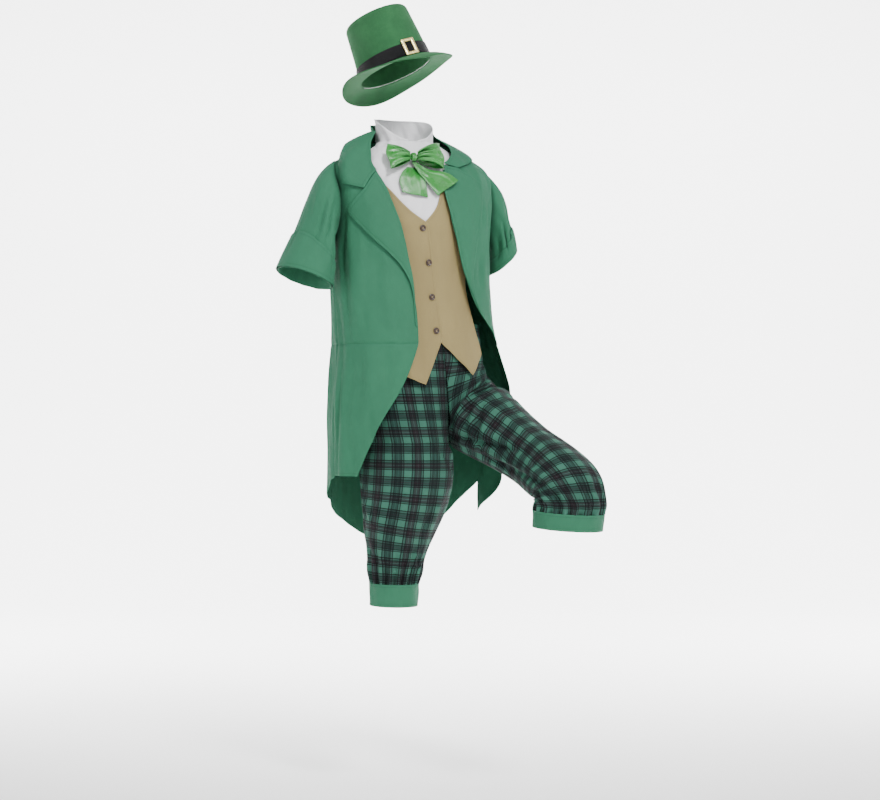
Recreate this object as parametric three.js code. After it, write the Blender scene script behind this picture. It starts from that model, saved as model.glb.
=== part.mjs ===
// A leprechaun costume, hollow and filled out as it hangs when worn: a green tailcoat with
// turned-up short sleeves, a waistcoat, a white shirt front with a soft stand collar, a satin bow,
// checked breeches with plain knee bands, and a top hat with a band and a buckle.
// Units are millimetres. +Z is up and the front faces -Y. The origin is at the base of the neck,
// between the shoulders that carry the coat.
import * as THREE from "three";

// Driving dimensions.
const CLOTH = 1.6; // wall of every woven piece
const SATIN = 1.2; // wall of the bow's ribbon
const FELT = 2.4; // wall of the hat
const SEAM_GAP = 0.3; // clear space left between two pieces at a seam
const DEGREE = Math.PI / 180;
const RIGHT = -1; // the costume's own right, at the viewer's left
const LEFT = 1;

const COLOURS = {
  coat: "#2f8562",
  waistcoat: "#b3a077",
  shirt: "#eceaf0",
  satin: "#3fae52",
  check: "#1f5a4a",
  hat: "#2f8446",
  band: "#15151a",
  buckle: "#d9c364",
  button: "#4a3a2e",
};

// Sections of the coat as it hangs: the middle of each one, its half width and half depth,
// and how far it is turned towards the costume's own left, in degrees.
const COAT_FORM = [
  { z: 62, x: 41, y: 6, wide: 71, deep: 66, turn: 24 },
  { z: 22, x: 44, y: 4, wide: 72, deep: 66, turn: 24 },
  { z: 8, x: 46, y: 4, wide: 96, deep: 76, turn: 25 },
  { z: -8, x: 48, y: 3, wide: 126, deep: 88, turn: 25 },
  { z: -25, x: 50, y: 2, wide: 156, deep: 100, turn: 26 },
  { z: -42, x: 51, y: 1, wide: 181, deep: 110, turn: 26 },
  { z: -65, x: 52, y: 0, wide: 195, deep: 119, turn: 26 },
  { z: -110, x: 54, y: 0, wide: 196, deep: 130, turn: 27 },
  { z: -160, x: 55, y: 0, wide: 191, deep: 137, turn: 27 },
  { z: -220, x: 56, y: 0, wide: 187, deep: 141, turn: 27 },
  { z: -320, x: 58, y: 0, wide: 185, deep: 143, turn: 28 },
  { z: -450, x: 62, y: 2, wide: 185, deep: 146, turn: 30 },
  { z: -600, x: 60, y: 4, wide: 190, deep: 156, turn: 30 },
  { z: -750, x: 58, y: 4, wide: 189, deep: 156, turn: 30 },
  { z: -900, x: 56, y: 6, wide: 190, deep: 154, turn: 30 },
];

// Sections of the inner form that the shirt, the waistcoat and the breeches' hips are cut for.
const BODY_FORM = [
  { z: 12, x: 42, y: 0, wide: 62, deep: 58, turn: 22 },
  { z: -3, x: 45, y: 0, wide: 92, deep: 70, turn: 24 },
  { z: -20, x: 48, y: 0, wide: 124, deep: 82, turn: 25 },
  { z: -38, x: 50, y: 0, wide: 152, deep: 92, turn: 26 },
  { z: -58, x: 52, y: 0, wide: 170, deep: 101, turn: 26 },
  { z: -110, x: 54, y: 0, wide: 178, deep: 114, turn: 27 },
  { z: -160, x: 55, y: 0, wide: 176, deep: 120, turn: 27 },
  { z: -220, x: 56, y: 0, wide: 171, deep: 122, turn: 28 },
  { z: -320, x: 60, y: 0, wide: 158, deep: 116, turn: 30 },
  { z: -400, x: 66, y: 0, wide: 152, deep: 112, turn: 32 },
  { z: -460, x: 72, y: 0, wide: 156, deep: 112, turn: 33 },
  { z: -560, x: 84, y: 0, wide: 166, deep: 116, turn: 35 },
];
const BOXY = 0.05; // how much fuller than an ellipse the sections are at their corners

// The value of one column at a place along another, on a smooth curve through the rows.
// A row marked sharp keeps its corner.
function column(rows, along, key, at) {
  const rising = rows[rows.length - 1][along] > rows[0][along] ? 1 : -1;
  let i = 0;
  while (i < rows.length - 2 && (at - rows[i + 1][along]) * rising > 0) i++;
  const rate = (j) => (rows[j + 1][key] - rows[j][key]) / (rows[j + 1][along] - rows[j][along]);
  const slope = (j) => {
    if (j === 0 || (rows[j].sharp && j === i)) return rate(j);
    if (j === rows.length - 1 || rows[j].sharp) return rate(j - 1);
    const before = rows[j][along] - rows[j - 1][along];
    const after = rows[j + 1][along] - rows[j][along];
    return (rate(j - 1) * after + rate(j) * before) / (before + after);
  };
  const span = rows[i + 1][along] - rows[i][along];
  const s = THREE.MathUtils.clamp((at - rows[i][along]) / span, 0, 1);
  const [s2, s3] = [s * s, s * s * s];
  return (
    (2 * s3 - 3 * s2 + 1) * rows[i][key] +
    (s3 - 2 * s2 + s) * span * slope(i) +
    (3 * s2 - 2 * s3) * rows[i + 1][key] +
    (s3 - s2) * span * slope(i + 1)
  );
}

const smooth = (s) => THREE.MathUtils.smoothstep(s, 0, 1);
const point = (x, y, z) => new THREE.Vector3(x, y, z);
const mix = (a, b, s) => a.clone().lerp(b, s);
const shares = (count) => Array.from({ length: count + 1 }, (_, i) => i / count);

// The point of a form at an angle from its front (positive to the costume's own left) and a height.
function formPoint(form, angle, z) {
  const at = (key) => column(form, "z", key, z);
  const a = angle * DEGREE;
  const turn = at("turn") * DEGREE;
  const fuller = 1 + BOXY * Math.sin(2 * a) ** 2;
  const across = at("wide") * Math.sin(a) * fuller;
  const ahead = at("deep") * Math.cos(a) * fuller;
  return point(
    at("x") + across * Math.cos(turn) + ahead * Math.sin(turn),
    at("y") + across * Math.sin(turn) - ahead * Math.cos(turn),
    z,
  );
}

// The way out of a form at a place, and the point moved that way.
function outward(form, angle, z) {
  const step = 0.5;
  const along = formPoint(form, angle + step, z).sub(formPoint(form, angle - step, z));
  const rise = formPoint(form, angle, z + step).sub(formPoint(form, angle, z - step));
  return along.cross(rise).normalize();
}
const lifted = (form, angle, z, lift) =>
  formPoint(form, angle, z).addScaledVector(outward(form, angle, z), lift);

// A geometry from points and triangles, turned so that its faces point out.
function facingOut(points, faces) {
  let volume = 0;
  for (let i = 0; i < faces.length; i += 3) {
    const [a, b, c] = [points[faces[i]], points[faces[i + 1]], points[faces[i + 2]]];
    volume += a.dot(b.clone().cross(c));
  }
  const geometry = new THREE.BufferGeometry().setFromPoints(points);
  geometry.setIndex(volume < 0 ? faces.reverse() : faces);
  geometry.computeVertexNormals();
  return geometry;
}

// A closed wall between two grids of points, [row][column], joined round their edges.
function wall(inside, outside, round = false) {
  const [rows, columns] = [inside.length, inside[0].length];
  const at = (layer, row, col) => layer * rows * columns + row * columns + (col % columns);
  const faces = [];
  const quad = (a, b, c, d) => faces.push(a, b, c, a, c, d);
  const spans = round ? columns : columns - 1;
  const end = rows - 1;
  for (let c = 0; c < spans; c++) {
    for (let r = 0; r < end; r++) {
      quad(at(1, r, c), at(1, r + 1, c), at(1, r + 1, c + 1), at(1, r, c + 1));
      quad(at(0, r, c), at(0, r, c + 1), at(0, r + 1, c + 1), at(0, r + 1, c));
    }
    quad(at(0, 0, c), at(1, 0, c), at(1, 0, c + 1), at(0, 0, c + 1));
    quad(at(0, end, c + 1), at(1, end, c + 1), at(1, end, c), at(0, end, c));
  }
  for (let r = 0; !round && r < end; r++) {
    quad(at(0, r + 1, 0), at(1, r + 1, 0), at(1, r, 0), at(0, r, 0));
    quad(at(0, r, spans), at(1, r, spans), at(1, r + 1, spans), at(0, r + 1, spans));
  }
  return facingOut([...inside.flat(), ...outside.flat()], faces);
}

// A surface of (turn, share) moved out by a distance, away from the middle that `heart` gives.
function grown(surface, heart, distance) {
  const normal = (turn, share) => {
    const along = surface(turn + 0.06, share).sub(surface(turn - 0.06, share));
    const down = surface(turn, Math.min(share + 1e-3, 1)).sub(surface(turn, Math.max(share - 1e-3, 0)));
    return along.cross(down).normalize();
  };
  const votes = [15, 105, 195, 285].map((turn) => {
    const fromHeart = surface(turn, 0.6).sub(heart(0.6));
    return normal(turn, 0.6).dot(fromHeart);
  });
  const way = Math.sign(votes.reduce((sum, vote) => sum + vote, 0)) || 1;
  return (turn, share) =>
    surface(turn, share).addScaledVector(normal(turn, share), way * distance(share));
}

// A wall on one side of such a surface.
function skin(surface, turns, steps, thickness, heart, round = false) {
  const far = grown(surface, heart, () => thickness);
  const grid = (layer) => steps.map((share) => turns.map((turn) => layer(turn, share)));
  return wall(grid(surface), grid(far), round);
}
const ringTurns = (count) => shares(count).slice(0, -1).map((t) => t * 360);

// A line in the flat cut, as an angle and a height for a share of its length.
const edge = (rows) => (share) => ({
  angle: column(rows, "share", "angle", share),
  z: column(rows, "share", "z", share),
});
const straight = (a, b) => edge([{ ...a, share: 0 }, { ...b, share: 1 }]);

// A cut between four edges: u runs from the inner edge to the outer, v from the top to the hem.
function cut({ inner, outer, top, hem }) {
  const over = top ?? straight(inner(0), outer(0));
  const under = hem ?? straight(inner(1), outer(1));
  const between = (a, b, s) => a + (b - a) * s;
  return (u, v) => {
    const coordinate = (key) =>
      between(inner(v)[key], outer(v)[key], u) +
      between(over(u)[key], under(u)[key], v) -
      between(between(inner(0)[key], outer(0)[key], u), between(inner(1)[key], outer(1)[key], u), v);
    return { angle: coordinate("angle"), z: coordinate("z") };
  };
}

// A piece of cloth laid on a form at a lift, as a grid of panels across by down.
function laid(form, place, across, down, lift, round = false) {
  const columns = round ? shares(across).slice(0, -1) : shares(across);
  const layer = (extra) =>
    shares(down).map((v) =>
      columns.map((u) => {
        const { angle, z } = place(u, v);
        return lifted(form, angle, z, lift(u, v, angle, z) + extra);
      }),
    );
  return wall(layer(0), layer(CLOTH), round);
}

// Soft ridges: each row has its middle, its lean from upright in degrees, its width and length,
// and how far it stands up or, below zero, sinks in.
const ridges = (rows) => (across, down) =>
  rows.reduce((sum, r) => {
    const [dx, dy] = [across - r.across, down - r.down];
    const [c, s] = [Math.cos(r.lean * DEGREE), Math.sin(r.lean * DEGREE)];
    const [aside, along] = [(dx * c - dy * s) / r.width, (dx * s + dy * c) / r.length];
    return sum + r.height * Math.exp(-aside * aside - along * along);
  }, 0);

const costume = new THREE.Group();
function add(name, geometry, colour, finish = {}) {
  const { roughness = 0.85, metalness = 0 } = finish;
  const material = new THREE.MeshStandardMaterial({ color: COLOURS[colour], roughness, metalness });
  const mesh = new THREE.Mesh(geometry, material);
  mesh.name = name;
  costume.add(mesh);
  return mesh;
}
const sideName = (side) => (side === RIGHT ? "right" : "left");

// Coat: folds
// Across is 3.2 mm for each degree round the coat, counted on past the back from the left side.
const COAT_SCALE = 3.2;
const coatRidges = ridges([
  { across: -205, down: 300, lean: 3, width: 18, length: 90, height: 4 },
  { across: -150, down: 255, lean: 22, width: 24, length: 70, height: -4 },
  { across: -260, down: 620, lean: 0, width: 20, length: 150, height: 6 },
  { across: -190, down: 600, lean: 10, width: 34, length: 110, height: -5 },
  { across: 280, down: 590, lean: 0, width: 125, length: 135, height: 60 },
  { across: 245, down: 760, lean: 0, width: 60, length: 60, height: 22 },
  { across: 400, down: 660, lean: -4, width: 30, length: 140, height: -6 },
  { across: 480, down: 660, lean: 4, width: 32, length: 160, height: 7 },
  { across: 640, down: 680, lean: -3, width: 32, length: 150, height: 7 },
  { across: 720, down: 700, lean: 3, width: 30, length: 120, height: -5 },
]);
const coatLift = (angle, z) => coatRidges((angle < -125 ? angle + 360 : angle) * COAT_SCALE, -z);
const onCoat = (u, v, angle, z) => coatLift(angle, z);

// Coat: bodice
const WAIST = -450;
const BODICE_END = WAIST + SEAM_GAP / 2;
const SHOULDER_NECK = 14; // height of the shoulder seam's end at the neck
const SIDE_SEAM = 96; // the side seams lie just behind the sides
const SEAM_TURN = 0.08; // degrees that each piece keeps from a seam
const ARMHOLE = { angle: 19, high: 84, middle: -128, pointed: 0.35 };

// The armhole as an offset in angle and in height, from its top (turn 0) by the front (90).
function armhole(turn) {
  const t = Math.abs(((turn + 180) % 360) - 180);
  const drop = (1 - ARMHOLE.pointed) * Math.cos(t * DEGREE) + ARMHOLE.pointed * (1 - t / 90);
  const forward = ARMHOLE.angle * Math.sin(turn * DEGREE);
  return { forward, drop, back: (SIDE_SEAM - 90) * smooth(t / 180) };
}

// The outer edge of a bodice piece: shoulder seam, then round the armhole, then the side seam.
function armEdge(side, facing) {
  const [shoulderEnds, armholeEnds] = [0.16, 0.52];
  const clear = facing * SEAM_TURN;
  return (share) => {
    if (share <= shoulderEnds) {
      const tip = ARMHOLE.middle + ARMHOLE.high;
      const fall = (tip - SHOULDER_NECK) * share;
      return { angle: side * (90 - clear), z: SHOULDER_NECK + fall / shoulderEnds };
    }
    if (share <= armholeEnds) {
      const hole = armhole(((share - shoulderEnds) / (armholeEnds - shoulderEnds)) * 180);
      const angle = 90 + hole.back - facing * hole.forward - clear;
      return { angle: side * angle, z: ARMHOLE.middle + ARMHOLE.high * hole.drop };
    }
    const underarm = ARMHOLE.middle - ARMHOLE.high;
    const s = (share - armholeEnds) / (1 - armholeEnds);
    return { angle: side * (SIDE_SEAM - clear), z: underarm + (BODICE_END - underarm) * s };
  };
}

// The line that each front turns back on, from the neck to the waist.
const ROLL_LINES = {
  right: [
    { share: 0, angle: -50, z: -20 },
    { share: 0.12, angle: -37, z: -68 },
    { share: 0.3, angle: -29.5, z: -140 },
    { share: 0.52, angle: -24, z: -212 },
    { share: 0.68, angle: -20.8, z: -300 },
    { share: 0.83, angle: -19, z: -372 },
    { share: 1, angle: -19.4, z: BODICE_END },
  ],
  left: [
    { share: 0, angle: 36, z: -10 },
    { share: 0.12, angle: 10.5, z: -58 },
    { share: 0.3, angle: 11, z: -140 },
    { share: 0.52, angle: 15.5, z: -215 },
    { share: 0.68, angle: 22, z: -300 },
    { share: 0.83, angle: 34, z: -372 },
    { share: 1, angle: 66, z: BODICE_END },
  ],
};

for (const side of [RIGHT, LEFT]) {
  const name = sideName(side);
  const front = cut({ inner: edge(ROLL_LINES[name]), outer: armEdge(side, 1) });
  add(`coat_front_${name}`, laid(COAT_FORM, front, 8, 18, onCoat), "coat");
  const middle = side * (180 - SEAM_TURN);
  const back = cut({
    inner: edge([
      { share: 0, angle: middle, z: 21 },
      { share: 0.16, angle: middle, z: -38 },
      { share: 0.52, angle: middle, z: -212 },
      { share: 1, angle: middle, z: BODICE_END },
    ]),
    outer: armEdge(side, -1),
  });
  add(`coat_back_${name}`, laid(COAT_FORM, back, 6, 18, onCoat), "coat");
}

// Coat: skirt
// A cut-away front on each side and two tails behind, open between them.
const SKIRT_TOP = WAIST - SEAM_GAP / 2;
const TAIL_END = -905;
const SKIRT_EDGES = {
  right: [
    { share: 0, angle: -19.4, z: SKIRT_TOP },
    { share: 0.14, angle: -23.5, z: -488 },
    { share: 0.36, angle: -32, z: -553 },
    { share: 0.66, angle: -48, z: -642 },
    { share: 0.9, angle: -60, z: -719 },
    { share: 1, angle: -64, z: -745 },
  ],
  left: [
    { share: 0, angle: 66, z: SKIRT_TOP },
    { share: 0.18, angle: 68, z: -512 },
    { share: 0.45, angle: 82, z: -606 },
    { share: 0.74, angle: 80, z: -722 },
    { share: 0.88, angle: 78, z: -776 },
    { share: 1, angle: 97, z: -835 },
  ],
};
const SKIRT_SIDES = { right: { angle: -96, z: -745 }, left: { angle: 103, z: -762 } };
const TAIL_HEMS = {
  right: [
    { share: 0, angle: -96, z: -750 },
    { share: 0.1, angle: -104, z: -757 },
    { share: 0.22, angle: -114, z: -778 },
    { share: 0.5, angle: -138, z: -832 },
    { share: 0.78, angle: -164, z: -884 },
    { share: 1, angle: -179.6, z: TAIL_END },
  ],
  left: [
    { share: 0, angle: 103, z: -768 },
    { share: 0.1, angle: 110, z: -790 },
    { share: 0.25, angle: 121, z: -820 },
    { share: 0.5, angle: 141, z: -876 },
    { share: 0.78, angle: 163, z: -900 },
    { share: 1, angle: 179.6, z: TAIL_END },
  ],
};

for (const side of [RIGHT, LEFT]) {
  const name = sideName(side);
  const seamTop = { angle: side * SIDE_SEAM, z: SKIRT_TOP };
  const seamEnd = SKIRT_SIDES[name];
  const kept = (place, way) => ({ ...place, angle: place.angle + side * way * SEAM_TURN });
  const front = cut({
    inner: edge(SKIRT_EDGES[name]),
    outer: straight(kept(seamTop, -1), kept(seamEnd, -1)),
  });
  add(`coat_skirt_${name}`, laid(COAT_FORM, front, 6, 11, onCoat), "coat");
  const hem = TAIL_HEMS[name].map((row, i) => (i ? row : { ...row, angle: kept(row, 1).angle }));
  const tail = cut({
    inner: straight(kept(seamTop, 1), hem[0]),
    outer: straight({ angle: side * (180 - SEAM_TURN), z: SKIRT_TOP }, hem[hem.length - 1]),
    hem: edge(hem),
  });
  add(`coat_tail_${name}`, laid(COAT_FORM, tail, 8, 11, onCoat), "coat");
}

// Coat: sleeves
// Each row is a ring that hangs from the armhole: how far its outer and inner ends stand out
// from the middle of the coat, their heights, how far ahead it lies and its half depth.
const SLEEVES = {
  right: [
    { share: 0, outerOut: 199, outerZ: -41, innerOut: 196, innerZ: -217, ahead: 0, deep: 58 },
    { share: 0.15, outerOut: 222, outerZ: -66, innerOut: 202, innerZ: -226, ahead: 1, deep: 61 },
    { share: 0.35, outerOut: 243, outerZ: -110, innerOut: 206, innerZ: -242, ahead: 5, deep: 65 },
    { share: 0.6, outerOut: 268, outerZ: -174, innerOut: 208, innerZ: -270, ahead: 9, deep: 69 },
    { share: 0.8, outerOut: 294, outerZ: -228, innerOut: 210, innerZ: -296, ahead: 12, deep: 73 },
    { share: 1, outerOut: 321, outerZ: -280, innerOut: 212, innerZ: -326, ahead: 14, deep: 76 },
  ],
  left: [
    { share: 0, outerOut: 199, outerZ: -41, innerOut: 196, innerZ: -217, ahead: 0, deep: 58 },
    { share: 0.15, outerOut: 217, outerZ: -66, innerOut: 201, innerZ: -223, ahead: 0, deep: 60 },
    { share: 0.35, outerOut: 234, outerZ: -104, innerOut: 203, innerZ: -232, ahead: -2, deep: 63 },
    { share: 0.6, outerOut: 247, outerZ: -148, innerOut: 204, innerZ: -246, ahead: -4, deep: 67 },
    { share: 0.8, outerOut: 255, outerZ: -180, innerOut: 204, innerZ: -262, ahead: -6, deep: 70 },
    { share: 1, outerOut: 262, outerZ: -212, innerOut: 205, innerZ: -284, ahead: -8, deep: 73 },
  ],
};
const SLEEVE_FOLDS = {
  right: ridges([
    { across: 95, down: 0.5, lean: 0, width: 22, length: 0.3, height: 5 },
    { across: 40, down: 0.62, lean: 0, width: 26, length: 0.2, height: -6 },
    { across: 300, down: 0.55, lean: 0, width: 30, length: 0.3, height: 5 },
  ]),
  left: ridges([
    { across: 60, down: 0.55, lean: 0, width: 24, length: 0.25, height: -6 },
    { across: 20, down: 0.75, lean: 0, width: 22, length: 0.2, height: 5 },
    { across: 270, down: 0.5, lean: 0, width: 34, length: 0.3, height: 5 },
  ]),
};
const CAP = 0.25; // share of the sleeve over which its ring leaves the shape of the armhole
const LAP = 1.06; // the sleeve laps this much past the armhole's edge

// A point of a sleeve: turn 0 is its outer side, 90 its front, and share 1 its open end.
function sleevePoint(side, turn, share) {
  const rows = SLEEVES[sideName(side)];
  const at = (key) => column(rows, "share", key, share);
  const [c, s] = [Math.cos(turn * DEGREE), Math.sin(turn * DEGREE)];
  const ends = (outer, inner) => (outer + inner + (outer - inner) * c) / 2;
  const fold = SLEEVE_FOLDS[sideName(side)]((turn + 360) % 360, share);
  const out = side * (ends(at("outerOut"), at("innerOut")) + fold * c);
  const forward = at("ahead") + (at("deep") + fold) * s;
  const body = (key) => column(COAT_FORM, "z", key, ARMHOLE.middle);
  const facing = body("turn") * DEGREE;
  const ring = point(
    body("x") + out * Math.cos(facing) + forward * Math.sin(facing),
    body("y") + out * Math.sin(facing) - forward * Math.cos(facing),
    ends(at("outerZ"), at("innerZ")),
  );
  const hole = armhole((turn + 360) % 360);
  const angle = side * (90 + hole.back - hole.forward * LAP);
  const z = ARMHOLE.middle + ARMHOLE.high * LAP * hole.drop;
  const seam = lifted(COAT_FORM, angle, z, CLOTH + 2 + coatLift(angle, z));
  const settled = Math.min(share / CAP, 1);
  return mix(seam, ring, settled * (2 - settled));
}

const CUFF_ROWS = [
  { share: 0.7, flare: 1.1 },
  { share: 0.8, flare: 2.2 },
  { share: 0.9, flare: 3 },
  { share: 0.999, flare: 3.2 },
];
for (const side of [RIGHT, LEFT]) {
  const name = sideName(side);
  const surface = (turn, share) => sleevePoint(side, turn, share);
  const heart = (share) => mix(surface(0, share), surface(180, share), 0.5);
  const turns = ringTurns(20);
  add(`sleeve_${name}`, skin(surface, turns, shares(8), CLOTH, heart, true), "coat");

  // The turned-up cuff is made from the sleeve's own points, moved out.
  const rows = CUFF_ROWS.map((row) => row.share);
  const layer = (extra) => {
    const flare = (share) => CLOTH + column(CUFF_ROWS, "share", "flare", share) + extra;
    const turned = grown(surface, heart, flare);
    return rows.map((share) => turns.map((turn) => turned(turn, share)));
  };
  add(`sleeve_cuff_${name}`, wall(layer(0), layer(CLOTH), true), "coat");
}

// Coat: collar and lapels
// The collar stands up round the neck, turns over at its fold line and falls on the shoulders.
const COLLAR_LINES = {
  fold: [
    { share: 0, angle: -37.4, z: -64 },
    { share: 0.1, angle: -46, z: -30 },
    { share: 0.2, angle: -60, z: 2 },
    { share: 0.3, angle: -83, z: 38 },
    { share: 0.4, angle: -120, z: 58 },
    { share: 0.5, angle: -180, z: 64 },
    { share: 0.6, angle: -240, z: 60 },
    { share: 0.7, angle: -278, z: 42 },
    { share: 0.8, angle: -305, z: 16 },
    { share: 0.9, angle: -328, z: -12 },
    { share: 1, angle: -348, z: -42 },
  ],
  fall: [
    { share: 0, angle: -66.5, z: -90 },
    { share: 0.1, angle: -70, z: -66 },
    { share: 0.2, angle: -78, z: -42 },
    { share: 0.3, angle: -97, z: -22 },
    { share: 0.4, angle: -128, z: -11 },
    { share: 0.5, angle: -180, z: -10 },
    { share: 0.6, angle: -236, z: -9 },
    { share: 0.7, angle: -268, z: -13 },
    { share: 0.8, angle: -288, z: -19 },
    { share: 0.9, angle: -304, z: -24 },
    { share: 1, angle: -319, z: -29 },
  ],
};
const GORGES = { right: { angle: -48, z: -103.5 }, left: { angle: -338.5, z: -52 } };
const COLLAR_LIFT = 3.4; // clear of the coat, and of the lapels beside it

const collarFall = cut({
  inner: edge(COLLAR_LINES.fold),
  outer: edge(COLLAR_LINES.fall),
  top: edge([
    { share: 0, ...COLLAR_LINES.fold[0] },
    { share: 0.5, ...GORGES.right, sharp: true },
    { share: 1, ...COLLAR_LINES.fall[0] },
  ].map((row, i) => ({ ...row, share: i / 2 }))),
  hem: edge([
    COLLAR_LINES.fold[10],
    { ...GORGES.left, sharp: true },
    COLLAR_LINES.fall[10],
  ].map((row, i) => ({ ...row, share: i / 2 }))),
});

// Above its outer edge the collar stands out over the slope of the shoulders, most at the
// costume's own right.
const FOLD_SPREAD = ridges([{ across: -70, down: 0, lean: 0, width: 20, length: 1, height: 15 }]);
const SIDE_SPREAD = ridges([
  { across: -90, down: 0, lean: 0, width: 26, length: 1, height: 16 },
  { across: -262, down: 0, lean: 0, width: 34, length: 1, height: 7 },
]);
const collarSpread = (u, angle) => {
  const spread = FOLD_SPREAD(angle, 0) * (1 - u) + SIDE_SPREAD(angle, 0) * Math.sin(Math.PI * u);
  return spread * smooth((-42 - angle) / 16);
};

function collar() {
  const stations = shares(26);
  const falls = [0, 0.1, 0.3, 0.55, 0.78, 1];
  const layer = (extra) =>
    stations.map((v) =>
      falls.map((u) => {
        const { angle, z } = collarFall(u, v);
        const bulge = 2.5 * Math.sin(Math.PI * Math.min(u * 1.6, 1)) + collarSpread(u, angle);
        return lifted(COAT_FORM, angle, z, COLLAR_LIFT + bulge + coatLift(angle, z) + extra);
      }),
    );
  add("coat_collar", wall(layer(0), layer(CLOTH)), "coat");
}
collar();

const LAPELS = {
  right: {
    roll: [
      { share: 0, angle: -37.2, z: -66 },
      { share: 0.22, angle: -29.5, z: -140 },
      { share: 0.42, angle: -24, z: -212 },
      { share: 0.67, angle: -20.8, z: -300 },
      { share: 1, angle: -19.1, z: -410 },
    ],
    gorge: { angle: -47.6, z: -105 },
    outer: [
      { share: 0, angle: -65.5, z: -153 },
      { share: 0.22, angle: -46, z: -214 },
      { share: 0.42, angle: -30, z: -266 },
      { share: 0.55, angle: -24, z: -298 },
      { share: 1, angle: -20.2, z: -412 },
    ],
  },
  left: {
    roll: [
      { share: 0, angle: 11.8, z: -45 },
      { share: 0.25, angle: 8.2, z: -110 },
      { share: 0.42, angle: 12.2, z: -166 },
      { share: 0.75, angle: 22, z: -300 },
      { share: 1, angle: 34, z: -372 },
    ],
    gorge: { angle: 21.9, z: -54.5 },
    outer: [
      { share: 0, angle: 40, z: -83 },
      { share: 0.25, angle: 37.5, z: -150 },
      { share: 0.42, angle: 34, z: -206 },
      { share: 0.7, angle: 28, z: -300 },
      { share: 1, angle: 35.6, z: -374 },
    ],
  },
};
for (const side of [RIGHT, LEFT]) {
  const { roll, gorge, outer } = LAPELS[sideName(side)];
  const top = [roll[0], { ...gorge, sharp: true }, outer[0]];
  const place = cut({
    inner: edge(roll),
    outer: edge(outer),
    top: edge(top.map((row, i) => ({ ...row, share: i / 2 }))),
  });
  const lift = (u, v, angle, z) => {
    const width = 1 - smooth((v - 0.5) / 0.4);
    const rolled = 1.4 * smooth(u * 2) + 2.2 * Math.sin(Math.PI * u);
    return CLOTH + 0.7 + coatLift(angle, z) + rolled * width;
  };
  add(`lapel_${sideName(side)}`, laid(COAT_FORM, place, 6, 12, lift), "coat");
}

// Shirt front and stand collar
const COLLAR_TOP = [
  { angle: 0, z: 12 },
  { angle: 30, z: 22 },
  { angle: 55, z: 41 },
  { angle: 80, z: 57 },
  { angle: 105, z: 67 },
  { angle: 140, z: 74 },
  { angle: 180, z: 75 },
];
const COLLAR_TALL = 50;
const shirtTop = (angle) => column(COLLAR_TOP, "angle", "z", Math.abs(angle));
const SHIRT_LIFT = 1.2;
const stand = (u, v) => {
  const angle = u * 360 - 180;
  return { angle, z: shirtTop(angle) - v * (COLLAR_TALL - SEAM_GAP) };
};
add("shirt_collar", laid(BODY_FORM, stand, 32, 3, () => SHIRT_LIFT, true), "shirt");

const BIB = { angle: 67.5, end: -232 };
const bib = (u, v) => {
  const angle = (2 * u - 1) * BIB.angle;
  const top = shirtTop(angle) - COLLAR_TALL - SEAM_GAP;
  const end = BIB.end + 60 * (2 * u - 1) ** 2;
  return { angle, z: top + (end - top) * v };
};
add("shirt_front", laid(BODY_FORM, bib, 12, 7, () => SHIRT_LIFT), "shirt");

// Waistcoat
const VEST_LIFT = 5.2;
const VEST_UNDERLAP = 2; // how much lower the left front lies where the right one laps over it
const VEST = {
  right: {
    inner: [
      { share: 0, angle: -56, z: -22 },
      { share: 0.1, angle: -45, z: -62 },
      { share: 0.2, angle: -33.9, z: -99 },
      { share: 0.32, angle: -17.5, z: -154 },
      { share: 0.4, angle: -4.8, z: -181, sharp: true },
      { share: 1, angle: -0.7, z: -437 },
    ],
    outer: [
      { share: 0, angle: -74, z: -26 },
      { share: 0.2, angle: -60, z: -110 },
      { share: 0.4, angle: -53, z: -205 },
      { share: 0.7, angle: -47, z: -350 },
      { share: 1, angle: -41, z: -518 },
    ],
    tip: { angle: -22, z: -541 },
  },
  left: {
    inner: [
      { share: 0, angle: 44, z: -22 },
      { share: 0.1, angle: 27, z: -58 },
      { share: 0.22, angle: 8.8, z: -102 },
      { share: 0.33, angle: 1.8, z: -148 },
      { share: 0.42, angle: -9, z: -184, sharp: true },
      { share: 1, angle: -8, z: -430 },
    ],
    outer: [
      { share: 0, angle: 70, z: -26 },
      { share: 0.2, angle: 50, z: -110 },
      { share: 0.4, angle: 36, z: -200 },
      { share: 0.62, angle: 27.5, z: -305 },
      { share: 0.82, angle: 35, z: -384 },
      { share: 1, angle: 43.7, z: -468 },
    ],
    tip: { angle: 25, z: -519 },
  },
};
for (const side of [RIGHT, LEFT]) {
  const { inner, outer, tip } = VEST[sideName(side)];
  const corner = { share: 0.5, ...tip, sharp: true };
  const first = { ...inner[inner.length - 1], share: 0 };
  const ends = [first, corner, { ...outer[outer.length - 1], share: 1 }];
  const place = cut({ inner: edge(inner), outer: edge(outer), hem: edge(ends) });
  const underlap = side === LEFT ? VEST_UNDERLAP : 0;
  const lift = (u, v, angle) =>
    VEST_LIFT + 3.1 * (1 - smooth(v * 5)) - underlap * (1 - smooth((angle - 0.4) / 5));
  add(`waistcoat_${sideName(side)}`, laid(BODY_FORM, place, 7, 14, lift), "waistcoat");
}

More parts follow.
